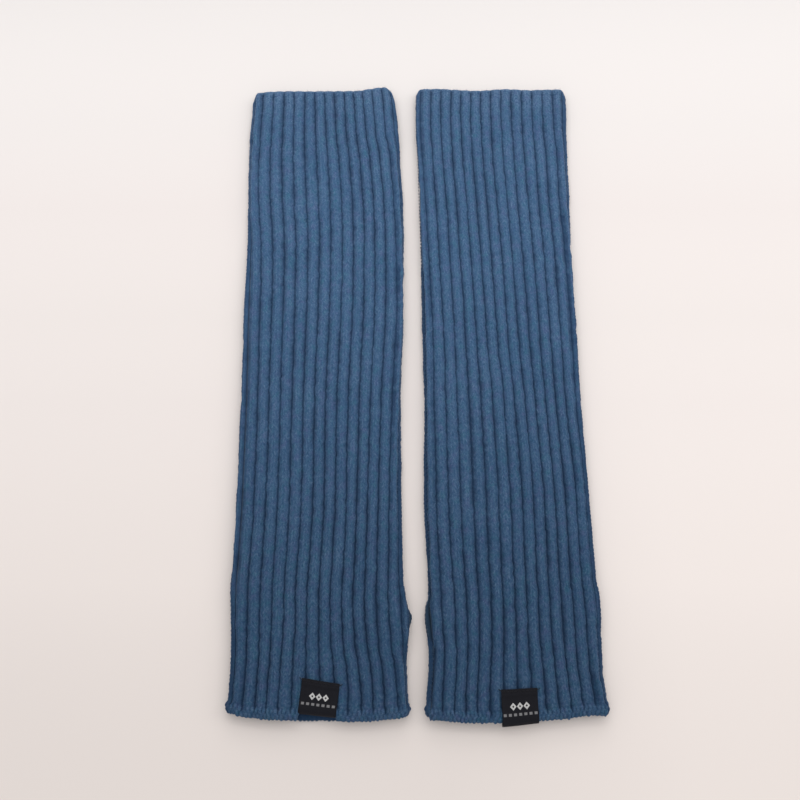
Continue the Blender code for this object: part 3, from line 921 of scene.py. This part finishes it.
def label_surface(warmer):
    """Middle surface of a label, its thickness and its UV in millimetres."""
    step = np.linspace(0.0, len(LABEL_ROWS) - 1.0, LABEL_LONG)[:, np.newaxis]
    above = smooth(LABEL_ROWS, "step", "above", step)
    inward = smooth(LABEL_ROWS, "step", "inward", step)
    side = np.linspace(-0.5, 0.5, LABEL_WIDE)[np.newaxis, :] * warmer.label.width
    points, turned = label_points(warmer, above, inward, side)
    thickness = LABEL_THICKNESS * (0.8 + 0.5 * turned)
    uv = np.stack(np.broadcast_arrays(side, above * (1.0 - 2.0 * (inward > 0.5))), axis=-1)
    return points, thickness, uv


def unit(vectors):
    """The same directions, with a length of one."""
    return vectors / np.linalg.norm(vectors, axis=-1, keepdims=True)


def woven_label(warmer, name):
    """The middle surface moved half its thickness both ways and closed all round."""
    middle, thickness, uv = label_surface(warmer)
    square = unit(np.cross(np.gradient(middle, axis=0), np.gradient(middle, axis=1)))
    push = square * thickness[:, :, np.newaxis] / 2.0 * MILLIMETRE
    points = np.stack([middle + push, middle - push])
    index = np.arange(points[..., 0].size).reshape(points.shape[:3])
    rows, columns = middle.shape[:2]
    sheet = index[0]
    front = np.stack([sheet[:-1, :-1], sheet[1:, :-1], sheet[1:, 1:], sheet[:-1, 1:]], axis=-1)
    faces = front.reshape(-1, 4).tolist()
    faces += (front.reshape(-1, 4)[:, ::-1] + rows * columns).tolist()
    loop = np.concatenate([sheet[0, :-1], sheet[:-1, -1], sheet[-1, :0:-1], sheet[:0:-1, 0]])
    after = np.roll(loop, -1)
    lift = rows * columns
    faces += np.stack([loop, after, after + lift, loop + lift], axis=-1).tolist()
    piece = new_piece(name, points, faces, np.stack([uv, uv]), "weave")
    measure(piece)
    return piece


labels = {}
for warmer in WARMERS:
    labels[warmer.name] = woven_label(warmer, warmer.name + "_label_tape")

# %% [markdown]
# ## Sewing
#
# A black thread holds each label's turned top, with a longer stitch off each
# corner, and a blue one links the thumb-side seam, with a tack of close stitches
# at each end of the slit.  A curve with a bevel could be laid for every stitch,
# but they are so many and so short that one small bent capsule, repeated with
# arrays, is lighter.

# %% Many small tubes at once
def tube_points(spine, aside, normal, thick, sides):
    """Rings round every point of every spine: p + thick (cos t aside + sin t normal)."""
    turn = (2.0 * math.pi * np.arange(sides) / sides)[:, np.newaxis]
    ring = np.cos(turn) * aside[:, np.newaxis, np.newaxis, :]
    ring = ring + np.sin(turn) * normal[:, np.newaxis, np.newaxis, :]
    return (spine[:, :, np.newaxis, :] + thick * ring).reshape(len(spine), -1, 3)


def tube_faces(rings, sides):
    """Indices of one tube's rings, those beside them round it, and its walls."""
    index = np.arange(rings * sides).reshape(rings, sides)
    beside = np.roll(index, -1, axis=1)
    walls = np.stack([index[:-1], index[1:], beside[1:], beside[:-1]], axis=-1).reshape(-1, 4)
    return index, beside, walls


def repeated(faces, count, size):
    """The same faces for many copies of a tube, whose points lie size apart."""
    step = (np.arange(count) * size)[:, np.newaxis, np.newaxis]
    return (faces + step).reshape(-1, faces.shape[1]).tolist()


print("walls of one stitch:", len(tube_faces(5, 6)[2]))

# %% Stitches from two arrays of points
STITCH_RINGS = 5
STITCH_SIDES = 6


def thread_stitches(name, starts, ends, outward, radius, bow):
    """Bent capsules: a + (b - a) t + bow 4 t (1 - t) n, r = radius sqrt(1 - (2t - 1)^4).

    a and b are a stitch's two ends and n its outward direction.
    """
    t = np.linspace(0.08, 0.92, STITCH_RINGS)[np.newaxis, :, np.newaxis]
    run = ends - starts
    normal = unit(outward)
    aside = unit(np.cross(run, normal))
    bowed = bow * 4.0 * t * (1.0 - t) * normal[:, np.newaxis, :]
    spine = starts[:, np.newaxis, :] + run[:, np.newaxis, :] * t + bowed
    thick = (radius * np.sqrt(1.0 - (2.0 * t - 1.0) ** 4))[:, :, np.newaxis, :]
    body = tube_points(spine, aside, normal, thick, STITCH_SIDES)
    points = np.concatenate([body, np.stack([starts, ends], axis=1)], axis=1)
    index, beside, walls = tube_faces(STITCH_RINGS, STITCH_SIDES)
    tip = np.full(STITCH_SIDES, STITCH_RINGS * STITCH_SIDES)
    first_cap = np.stack([tip, index[0], beside[0]], axis=-1)
    last_cap = np.stack([tip + 1, beside[-1], index[-1]], axis=-1)
    caps = np.concatenate([first_cap, last_cap])
    count, size = points.shape[:2]
    faces = repeated(walls, count, size) + repeated(caps, count, size)
    along = np.broadcast_to(np.arange(points.shape[1]) / STITCH_SIDES, points.shape[:2])
    around = np.broadcast_to(np.arange(points.shape[1]) % STITCH_SIDES, points.shape[:2])
    piece = new_piece(name, points, faces, np.stack([along, around], axis=-1).astype(float), "thread")
    measure(piece)
    return piece


# %% The labels' thread
LABEL_STITCHES = 9
LABEL_THREAD = 0.17
STITCH_HALF = 0.72


def label_thread(warmer):
    """A row of running stitches below the label's top edge, and one off each corner."""
    top = LABEL_ROWS[0].above - 1.2
    half = warmer.label.width / 2.0
    middle = np.linspace(-half + 1.3, half - 1.3, LABEL_STITCHES)
    left = np.concatenate([middle - STITCH_HALF, [-half + 0.5, half - 0.5]])
    right = np.concatenate([middle + STITCH_HALF, [-half - 1.5, half + 1.6]])
    low = np.concatenate([np.full(LABEL_STITCHES, top), [top - 0.1, top - 0.2]])
    high = np.concatenate([np.full(LABEL_STITCHES, top), [top + 1.5, top + 1.2]])
    lift = LABEL_THICKNESS * 0.65
    off_corner = np.concatenate([np.full(LABEL_STITCHES, lift), [lift - 0.9, lift - 0.9]])
    starts = label_points(warmer, low, np.zeros_like(low), left, lift)[0]
    ends = label_points(warmer, high, np.zeros_like(low), right, off_corner)[0]
    outward = np.tile([0.0, 0.0, 1.0], (len(starts), 1))
    radius = LABEL_THREAD * MILLIMETRE
    return thread_stitches(warmer.name + "_label_thread", starts, ends, outward, radius, radius)


label_threads = {warmer.name: label_thread(warmer) for warmer in WARMERS}

# %% The seams' thread
SEAM_THREAD = 0.26
SEAM_SPREAD = 0.15
SEAM_SINK = -0.75
SEAM_SLANT = 0.6
SEAM_END_GAP = 1.5
TACK_STITCHES = 5


def seam_thread(warmer):
    """Stitches across the thumb-side seam, one to a course, and two close tacks."""
    course = np.arange(4, COURSES - 2) * COURSE
    course = course[np.abs(course - SLIT_MIDDLE) > SLIT_HALF + SEAM_END_GAP]
    tack = np.linspace(-1.6, 1.6, TACK_STITCHES)
    ends_of_slit = [SLIT_MIDDLE - SLIT_HALF - 0.5 + tack, SLIT_MIDDLE + SLIT_HALF + 0.5 + tack]
    up = np.sort(np.concatenate([course] + ends_of_slit))
    above = rib_place(warmer, SEAM_SPREAD + np.zeros_like(up), up)
    below = rib_place(warmer, -SEAM_SPREAD + np.zeros_like(up), up)
    starts = wall_points(warmer, "upper", above, up, SEAM_SINK)
    ends = wall_points(warmer, "under", below, up - SEAM_SLANT, SEAM_SINK)
    centre = wall_points(warmer, "upper", (above + below) / 2.0, up, -3.0)
    outward = (starts + ends) / 2.0 - centre
    radius = SEAM_THREAD * MILLIMETRE
    return thread_stitches(warmer.name + "_seam_thread", starts, ends, outward, radius, radius)


seam_threads = {warmer.name: seam_thread(warmer) for warmer in WARMERS}

# %% [markdown]
# ## Fuzz
#
# Fulled wool is never clean at its edge: fine ends of fibre stand off it and
# soften every outline.  A particle system would do it, but its hairs do not
# travel with the piece.  Instead each fibre is a three-sided spike on the skin's
# own grid, most of them near the folds and the ends, where they show.

# %% Fuzz on the fronts
FUZZ_COUNT = 5200
FUZZ_RADIUS = 0.045
FUZZ_RINGS = 3
FUZZ_SIDES = 3
FUZZ_LENGTH = (0.7, 2.0)
FUZZ_LEAN = 0.55
FUZZ_BEND = 0.45
FUZZ_ROOT = 0.1
LIKELIER_AT_SIDE = 7.0
LIKELIER_AT_END = 9.0


def fuzz(warmer, name):
    """Curved spikes: p + L (t d + c t^2 s), r = radius (1 - t), with a seeded choice of all.

    p is a point of the front a tenth of a millimetre in, d leans from its normal
    and s bends along it.  A place is likelier by exp(-(s / 0.8)^2) times seven at
    s ribs from a fold and by exp(-(e / 3)^2) times nine at e millimetres from an
    end, less likely where the painted shade is deep, and never on the label.
    """
    points, uv, up, _, hollow = outer_side(warmer, "upper")
    rows, columns = up.shape
    normal = unit(np.cross(np.gradient(points, axis=1), np.gradient(points, axis=0)) * warmer.inward)
    normal = normal * np.sign(normal[..., 2:].sum())
    from_side = np.minimum(np.arange(columns), columns - 1 - np.arange(columns)) / COLUMNS_PER_RIB
    from_end = np.minimum(up, LENGTH - up)
    likely = 1.0 + LIKELIER_AT_SIDE * np.exp(-((from_side / 0.8) ** 2))
    likely = likely + LIKELIER_AT_END * np.exp(-((from_end / 3.0) ** 2))
    middle = tube(warmer, "centre", HEM_ALONG + up)
    across = warmer.inward * (points[..., 0] / MILLIMETRE - middle)
    from_label = np.abs(across - warmer.label.across - warmer.label.lean * up)
    bare = (from_label > warmer.label.width / 2.0 + 0.5) | (up > LABEL_ROWS[0].above + 1.0)
    likely = (likely * bare * np.maximum(1.0 - hollow, 0.0) ** 2).ravel()
    generator = np.random.default_rng(warmer.seed + 7)
    chosen = generator.choice(rows * columns, FUZZ_COUNT, p=likely / likely.sum())
    root = points.reshape(-1, 3)[chosen]
    out = normal.reshape(-1, 3)[chosen]
    stray = generator.normal(size=(FUZZ_COUNT, 3))
    bend = generator.normal(size=(FUZZ_COUNT, 3))
    length = (generator.uniform(*FUZZ_LENGTH, (FUZZ_COUNT, 1)) * MILLIMETRE)[:, np.newaxis]
    lean = unit(out + FUZZ_LEAN * stray)
    aside = unit(np.cross(lean, bend))
    along = np.cross(aside, lean)
    t = np.linspace(0.0, 1.0, FUZZ_RINGS + 1)[np.newaxis, :, np.newaxis]
    sunk = root[:, np.newaxis] - FUZZ_ROOT * MILLIMETRE * out[:, np.newaxis]
    spine = sunk + length * t * lean[:, np.newaxis]
    spine = spine + length * FUZZ_BEND * t * t * along[:, np.newaxis]
    thick = (FUZZ_RADIUS * MILLIMETRE * (1.0 - t[:, :-1]))[:, :, np.newaxis, :]
    body = tube_points(spine[:, :-1], aside, along, thick, FUZZ_SIDES)
    spikes = np.concatenate([body, spine[:, -1:, :]], axis=1)
    index, beside, walls = tube_faces(FUZZ_RINGS, FUZZ_SIDES)
    tip = np.full(FUZZ_SIDES, FUZZ_RINGS * FUZZ_SIDES)
    caps = np.concatenate([np.stack([beside[-1], index[-1], tip], axis=-1), index[:1]])
    size = spikes.shape[1]
    faces = repeated(walls, FUZZ_COUNT, size) + repeated(caps, FUZZ_COUNT, size)
    place = np.repeat(uv.reshape(-1, 2)[chosen], size, axis=0)
    spikes[..., 2] = np.maximum(spikes[..., 2], 0.0)
    piece = new_piece(name, spikes, faces, place, "knit", np.zeros(len(place)))
    measure(piece)
    return piece


fuzzes = {warmer.name: fuzz(warmer, warmer.name + "_front_fuzz") for warmer in WARMERS}

# %% [markdown]
# ## Finishes
#
# A finish is a graph of nodes.  Written as plain node calls it is hard to read,
# so a small class wraps a socket: an expression on it adds the Math nodes, and
# any other node comes from one method.

# %% Shader maths as expressions
class Socket:
    """An output in a material; + - * / and ** on it add Math nodes, so 1 - mask works."""

    def __init__(self, finish, output):
        self.finish = finish
        self.output = output

    def math(self, operation, *values):
        return self.finish.node("Math", {"operation": operation}, dict(enumerate(values)))[0]

    def __add__(self, other):
        return self.math("ADD", self, other)

    def __sub__(self, other):
        return self.math("SUBTRACT", self, other)

    def __rsub__(self, other):
        return self.math("SUBTRACT", other, self)

    def __mul__(self, other):
        return self.math("MULTIPLY", self, other)

    def __truediv__(self, other):
        return self.math("DIVIDE", self, other)

    def __pow__(self, other):
        return self.math("POWER", self, other)

    def __abs__(self):
        return self.math("ABSOLUTE", self)

    def fraction(self):
        return self.math("FRACT", self)

    def whole(self):
        return self.math("FLOOR", self)

    def sine(self):
        return self.math("SINE", self)

    def above(self, level):
        return self.math("GREATER_THAN", self, level)

    def clamp(self):
        return self.math("MINIMUM", self.math("MAXIMUM", self, 0.0), 1.0)

    __radd__ = __add__
    __rmul__ = __mul__


class Paint:
    """A material whose nodes are made one method call at a time."""

    def __init__(self, name):
        self.material = bpy.data.materials.new(name)
        self.material.use_nodes = True
        self.tree = self.material.node_tree
        self.shader = self.tree.nodes["Principled BSDF"]

    def node(self, kind, settings, inputs):
        """A new node: its type, its settings, which are set first, then its sockets."""
        made = self.tree.nodes.new("ShaderNode" + kind)
        for name, value in settings.items():
            if name == "stops":
                self.set_stops(made.color_ramp, value)
            else:
                setattr(made, name, value)
        for name, value in inputs.items():
            self.feed(made.inputs[name], value)
        return [Socket(self, output) for output in made.outputs if output.enabled]

    def set_stops(self, ramp, stops):
        """The places and colours of a ramp."""
        while len(ramp.elements) < len(stops):
            ramp.elements.new(0.5)
        for element, (place, colour) in zip(ramp.elements, stops):
            element.position = place
            element.color = (*colour, 1.0)

    def feed(self, socket, value):
        """A link from another socket, or a constant; a colour gets its fourth value here."""
        if isinstance(value, Socket):
            self.tree.links.new(value.output, socket)
        elif isinstance(value, tuple) and socket.type == "RGBA":
            socket.default_value = (*value, 1.0)
        else:
            socket.default_value = value

    def finish(self, **sockets):
        """Feeds the shader; a name's underscores stand for spaces."""
        for name, value in sockets.items():
            self.feed(self.shader.inputs[name.replace("_", " ")], value)
        return self.material

    def mix(self, factor, first, second):
        """first (1 - factor) + second factor, for colours."""
        settings = {"data_type": "RGBA", "clamp_factor": True}
        return self.node("Mix", settings, {0: factor, 6: first, 7: second})[0]

    def noise(self, vector, scale, detail=2.0, roughness=0.5):
        """Noise from 0 to 1."""
        inputs = {"Vector": vector, "Scale": scale, "Detail": detail, "Roughness": roughness}
        return self.node("TexNoise", {}, inputs)[0]

    def vector(self, x, y, z=0.0):
        """Three values as one vector."""
        return self.node("CombineXYZ", {}, {0: x, 1: y, 2: z})[0]

    def uv(self, name):
        """The two coordinates of a named UV map."""
        place = self.node("UVMap", {"uv_map": name}, {})[0]
        return self.node("SeparateXYZ", {}, {0: place})[:2]


print("shader helpers ready")

# %% [markdown]
# The yarn is a soft mélange: blue wool with a little darker and a little paler
# fibre carded in.  Real fibres run along each leg of a stitch, so the finest
# noise is stretched that way, in the knit's own UV map, where a rib is one unit
# wide and a course one unit high.  Broader patches come from Object coordinates
# and run over the stitches, as they do in a dyed cloth.  Wool scatters light
# sideways, which is what the sheen is for.

# %% Blue wool
WOOL_BASE = (0.033, 0.076, 0.146)
WOOL_DARK = (0.0135, 0.045, 0.104)
WOOL_PALE = (0.075, 0.127, 0.210)
# Painted shade for grooves, the chain, the folded sides and the inside.
WOOL_SHADE = (0.0055, 0.020, 0.054)
# Painted shadow for the inside of the thumb slit.
WOOL_SLIT_SHADOW = (0.0150, 0.0330, 0.0600)
WOOL_TEAL = (0.027, 0.086, 0.144)
WOOL_PLUM = (0.044, 0.072, 0.152)
# A painted highlight on the last courses at the elbow rim.
RIM_HIGHLIGHT_COURSES = 9.0
RIM_PAINTED_HIGHLIGHT = 0.45
HUE_STEEPNESS = 6.0
TONE_STEEPNESS = 1.25
PLY_TURNS = 18.85


def wool_finish(name, shift):
    """Mélange wool: its colour by fibre, tuft, fleck, hue and painted shade, its bump by fibre.

    tone = 1.6 fibre + 1.9 tuft + 0.5 cloud + 1.8 fleck, each about its middle.
    Above nothing it mixes in the pale fibre and below nothing the dark one, and
    the last nine courses at the elbow are paler, a painted highlight.  Where the
    painted shade lies, a groove takes the shade colour, and the slit, where the
    painted shade is over one, a painted shadow for its inside.
    """
    wool = Paint(name)
    ribs, course = wool.uv("knit")
    place = wool.node("TexCoord", {}, {})[3]
    # The painted shade that each skin carries as an attribute.
    hollow = wool.node("Attribute", {"attribute_name": "hollow"}, {})[2]
    wale = (ribs * 2.0).fraction()
    leg_end = abs(wale * 2.0 - 1.0)
    leg = (ribs * 4.0).whole()
    fibre = wool.noise(wool.vector(leg_end * 1.3 + leg * 7.7, course * 8.0 + shift), 1.0, 3.0, 0.6)
    tuft = wool.noise(wool.vector(ribs * 4.2 + shift, course * 1.4), 1.0, 2.0, 0.55)
    cloud = wool.noise(place, 75.0, 2.0, 0.5)
    fleck = wool.noise(place, 1100.0, 2.0, 0.6)
    hue = wool.noise(place, 260.0 + shift, 2.0, 0.6)
    tone = (fibre - 0.5) * 1.6 + (tuft - 0.5) * 1.9 + (cloud - 0.5) * 0.5 + (fleck - 0.5) * 1.8
    # Painted highlight: the elbow rim is paler.
    rim = ((course - (COURSES - RIM_HIGHLIGHT_COURSES)) / RIM_HIGHLIGHT_COURSES).clamp() * RIM_PAINTED_HIGHLIGHT
    pale = (tone * TONE_STEEPNESS + rim).clamp()
    dark = (tone * -TONE_STEEPNESS).clamp()
    body = wool.mix(((hue - 0.54) * HUE_STEEPNESS).clamp(), WOOL_BASE, WOOL_TEAL)
    body = wool.mix(((0.46 - hue) * HUE_STEEPNESS).clamp(), body, WOOL_PLUM)
    colour = wool.mix(dark, wool.mix(pale, body, WOOL_PALE), WOOL_DARK)
    # Painted shade where the skin's painted-shade attribute lies.
    colour = wool.mix(((hollow ** 1.1) * 0.85).clamp(), colour, WOOL_SHADE)
    # Painted shadow in the thumb slit, where the painted shade is over one.
    colour = wool.mix(((hollow - 0.95) * 2.5).clamp(), colour, WOOL_SLIT_SHADOW)
    ply = (course * PLY_TURNS + leg_end * 9.0).sine()
    height = fibre * 0.5 + ply * 0.12 + fleck * 0.35
    bump = wool.node("Bump", {}, {"Strength": 0.55, "Distance": 0.00035, "Height": height})[0]
    return wool.finish(
        Base_Color=colour,
        Roughness=0.86 + (fleck - 0.5) * 0.2,
        Normal=bump,
        Sheen_Weight=0.3,
        Sheen_Roughness=0.45,
        Sheen_Tint=(0.55, 0.72, 1.0),
        Specular_IOR_Level=0.1,
    )


for warmer in WARMERS:
    wool = wool_finish(warmer.name + "_blue_wool", 3.0 * warmer.inward)
    for layer in ("upper", "under"):
        skins[warmer.name, layer].data.materials.append(wool)
    fuzzes[warmer.name].data.materials.append(wool)
print("wool on", len(skins) + len(fuzzes), "pieces")

# %% [markdown]
# The tape is a warp-faced satin: close shiny threads along it, with fine picks
# across.  Three small pale diamonds over a row of grey dashes are woven in, where
# such labels carry their weaving.

# %% Black woven tape
TAPE_BASE = (0.0040, 0.0042, 0.0074)
TAPE_SHINE = (0.0078, 0.0081, 0.0125)
TAPE_MARK = (0.56, 0.56, 0.56)
TAPE_DASH = (0.20, 0.20, 0.21)
DIAMOND_PITCH = 3.4
DIAMOND_ALONG = 8.3
DIAMONDS_HALF = 1.5 * DIAMOND_PITCH
DASH_PITCH = 2.6
DASH_ALONG = 4.3
DASH_HALF_HEIGHT = 0.65
DASHES_HALF = 8.6


def tape_finish(name):
    """Satin tape: threads and picks as bump, a row of three diamonds and one of dashes.

    A diamond is the band where |x| + 0.85 |y| lies between 0.55 and 1.62, x and
    y being millimetres from its middle.
    """
    tape = Paint(name)
    across, along = tape.uv("weave")
    thread = (across * 24.0).sine()
    pick = (along * 31.0 + (across * 12.0).whole() * 2.1).sine()
    uneven_thread = tape.noise(tape.vector(across * 3.0, along * 0.6), 1.0, 2.0, 0.5)
    from_middle = abs(((across + DIAMONDS_HALF) / DIAMOND_PITCH).fraction() - 0.5) * DIAMOND_PITCH
    diamond = from_middle + abs(along - DIAMOND_ALONG) * 0.85
    in_row = 1.0 - abs(across).above(DIAMONDS_HALF)
    marks = (1.0 - diamond.above(1.62)) * diamond.above(0.55) * in_row
    gap = abs((across / DASH_PITCH + 0.5).fraction() - 0.5).above(0.29)
    in_line = 1.0 - abs(along - DASH_ALONG).above(DASH_HALF_HEIGHT)
    dashes = in_line * (1.0 - abs(across).above(DASHES_HALF)) * (1.0 - gap)
    worn = 0.85 + pick * 0.12
    colour = tape.mix(uneven_thread, TAPE_BASE, TAPE_SHINE)
    colour = tape.mix(marks * worn, colour, TAPE_MARK)
    colour = tape.mix(dashes * 0.85, colour, TAPE_DASH)
    height = thread * 0.25 + pick * 0.35 + marks * 0.6
    bump = tape.node("Bump", {}, {"Strength": 0.5, "Distance": 0.00012, "Height": height})[0]
    return tape.finish(
        Base_Color=colour,
        Roughness=0.58 + (uneven_thread - 0.5) * 0.15,
        Normal=bump,
        Specular_IOR_Level=0.12,
    )


for warmer in WARMERS:
    labels[warmer.name].data.materials.append(tape_finish(warmer.name + "_satin_tape"))
print("tape on", len(labels), "labels")

# %% [markdown]
# Sewing thread is two plies twisted together, so a slanted stripe of painted
# shade runs round each stitch, between the plies.

# %% Thread
BLACK_THREAD = (0.010, 0.009, 0.013)
BLUE_THREAD = (0.020, 0.050, 0.105)


def thread_finish(name, colour):
    """Twisted thread: its colour darkened by a third between the plies, as painted shade."""
    thread = Paint(name)
    along, around = thread.uv("thread")
    place = thread.node("TexCoord", {}, {})[3]
    ply = ((along + around * 0.33) * 6.2832).sine() * 0.5 + 0.5
    speck = thread.noise(place, 3000.0, 2.0, 0.6)
    # Painted shade between the two plies.
    painted_ply_shade = tuple(0.62 * value for value in colour)
    bump = thread.node("Bump", {}, {"Strength": 0.5, "Distance": 0.0001, "Height": ply})[0]
    return thread.finish(
        Base_Color=thread.mix((ply * 0.7 + speck * 0.3).clamp(), painted_ply_shade, colour),
        Roughness=0.7 + (speck - 0.5) * 0.2,
        Normal=bump,
        Specular_IOR_Level=0.25,
    )


black_thread = thread_finish("black_thread", BLACK_THREAD)
blue_thread = thread_finish("blue_thread", BLUE_THREAD)
for warmer in WARMERS:
    label_threads[warmer.name].data.materials.append(black_thread)
    seam_threads[warmer.name].data.materials.append(blue_thread)
print("thread on", len(label_threads) + len(seam_threads), "pieces")

# %% [markdown]
# ## Table, light and camera
#
# The pair lies on a plain warm-white table.  A broad softbox hangs over the elbow
# ends and lights them a little more than the hands, a far window and a window on
# the right model the ribs, and an even pale room fills the rest.  One large lamp
# would be simpler, but its shadows would be too deep.  The camera looks down at
# 70 degrees from the hand end.

# %% Table, light and camera
LOOK_AT = (-0.0072, -0.0157, 0.0)
CAMERA_DISTANCE = 0.602
CAMERA_ELEVATION = math.radians(70.0)
TABLE_HALF = 3.0
TABLE_DROP = -0.0003

# The table's tone from the hand end to the elbow end, which evens out the lamps.
TABLE_STOPS = (
    (0.00, (0.795, 0.734, 0.706)),
    (0.30, (0.693, 0.641, 0.620)),
    (0.47, (0.557, 0.518, 0.505)),
    (0.56, (0.509, 0.476, 0.464)),
    (0.68, (0.484, 0.452, 0.443)),
    (0.78, (0.487, 0.463, 0.456)),
    (1.00, (0.535, 0.515, 0.510)),
)


def plain_floor():
    """A square table top a hair below the warmers.

    Its tone goes by its stops along Y, from -0.3 m to 0.3 m, painted to even out
    the lamps, times a painted-light gain of one that rises by 0.01 to the right,
    and by 0.07 more towards the camera.
    """
    signs = ((-1.0, -1.0), (1.0, -1.0), (1.0, 1.0), (-1.0, 1.0))
    corners = [(x * TABLE_HALF, y * TABLE_HALF, TABLE_DROP) for x, y in signs]
    mesh = bpy.data.meshes.new("table")
    mesh.from_pydata(corners, [], [(0, 1, 2, 3)])
    table = bpy.data.objects.new("table", mesh)
    bpy.context.scene.collection.objects.link(table)
    paint = Paint("table_paint")
    place = paint.node("SeparateXYZ", {}, {0: paint.node("TexCoord", {}, {})[3]})
    far = ((place[1] + 0.3) / 0.6).clamp()
    colour = paint.node("ValToRGB", {"stops": TABLE_STOPS}, {0: far})[0]
    # Painted light: the table is lighter to the right of the pair, and more so towards the camera.
    right = ((place[0] - 0.02) / 0.12).clamp()
    near = ((0.12 - place[1]) / 0.3).clamp()
    painted_light_gain = right * (near * 0.07 + 0.01) + 1.0
    colour = paint.node("VectorMath", {"operation": "SCALE"}, {0: colour, "Scale": painted_light_gain})[0]
    mesh.materials.append(paint.finish(Base_Color=colour, Roughness=0.8, Specular_IOR_Level=0.0))


WHITE = (1.0, 1.0, 1.0)
WARM_WHITE = (1.0, 0.985, 0.97)


def soft_light(name, place, aim, width, height, power, colour, spread=180.0):
    """A rectangular area light that faces the point it is aimed at, with a spread in degrees."""
    data = bpy.data.lights.new(name, "AREA")
    data.shape = "RECTANGLE"
    data.size = width
    data.size_y = height
    data.energy = power
    data.spread = math.radians(spread)
    data.color = colour
    light = bpy.data.objects.new(name, data)
    light.location = place
    light.visible_camera = False
    aim = np.array(aim) - np.array(place)
    light.rotation_euler = (
        math.atan2(math.hypot(aim[0], aim[1]), -aim[2]),
        0.0,
        math.atan2(aim[1], aim[0]) - math.pi / 2.0,
    )
    bpy.context.scene.collection.objects.link(light)


def room(colour, strength):
    """An even world."""
    world = bpy.data.worlds.new("room")
    world.use_nodes = True
    background = world.node_tree.nodes["Background"]
    background.inputs["Color"].default_value = (*colour, 1.0)
    background.inputs["Strength"].default_value = strength
    bpy.context.scene.world = world


def add_camera():
    """Placed at a distance and an elevation from the point it looks at."""
    data = bpy.data.cameras.new("camera")
    data.sensor_width = 36.0
    data.lens = 48.0
    camera = bpy.data.objects.new("camera", data)
    camera.location = (
        LOOK_AT[0],
        LOOK_AT[1] - CAMERA_DISTANCE * math.cos(CAMERA_ELEVATION),
        CAMERA_DISTANCE * math.sin(CAMERA_ELEVATION),
    )
    camera.rotation_euler = (math.pi / 2.0 - CAMERA_ELEVATION, 0.0, 0.0)
    bpy.context.scene.collection.objects.link(camera)
    bpy.context.scene.camera = camera


plain_floor()
soft_light("softbox", (0.0, 0.14, 0.24), (0.0, 0.139, 0.0), 1.1, 0.36, 1.18, WHITE, 108.0)
soft_light("far_window", (0.1, 0.9, 0.5), (0.05, 0.0, 0.0), 1.0, 0.4, 1.9, WHITE)
soft_light("side_window", (2.4, 0.4, 1.5), LOOK_AT, 1.2, 1.2, 10.3, WARM_WHITE)
room(WARM_WHITE, 0.871)
add_camera()
bpy.context.scene.view_settings.view_transform = "Standard"
print("camera at", [round(value, 3) for value in bpy.context.scene.camera.location])

# %% [markdown]
# ## Hand the pieces over
#
# Every piece is attached to the root body, and the solid that each skin and
# label stands for is hidden.  Thread and fuzz stand for no solid and only ride along.

for warmer in WARMERS:
    front = skins[warmer.name, "upper"]
    back = skins[warmer.name, "under"]
    label = labels[warmer.name]
    for piece, slot, solid in (
        (front, "wool", "_front"),
        (back, "wool", "_back"),
        (label, "label", "_label"),
        (fuzzes[warmer.name], "wool", None),
        (seam_threads[warmer.name], "wool", None),
        (label_threads[warmer.name], "label", None),
    ):
        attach(piece, "root")
        if solid:
            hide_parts(warmer.name + solid)
print("handed over:", 6 * len(WARMERS), "pieces")
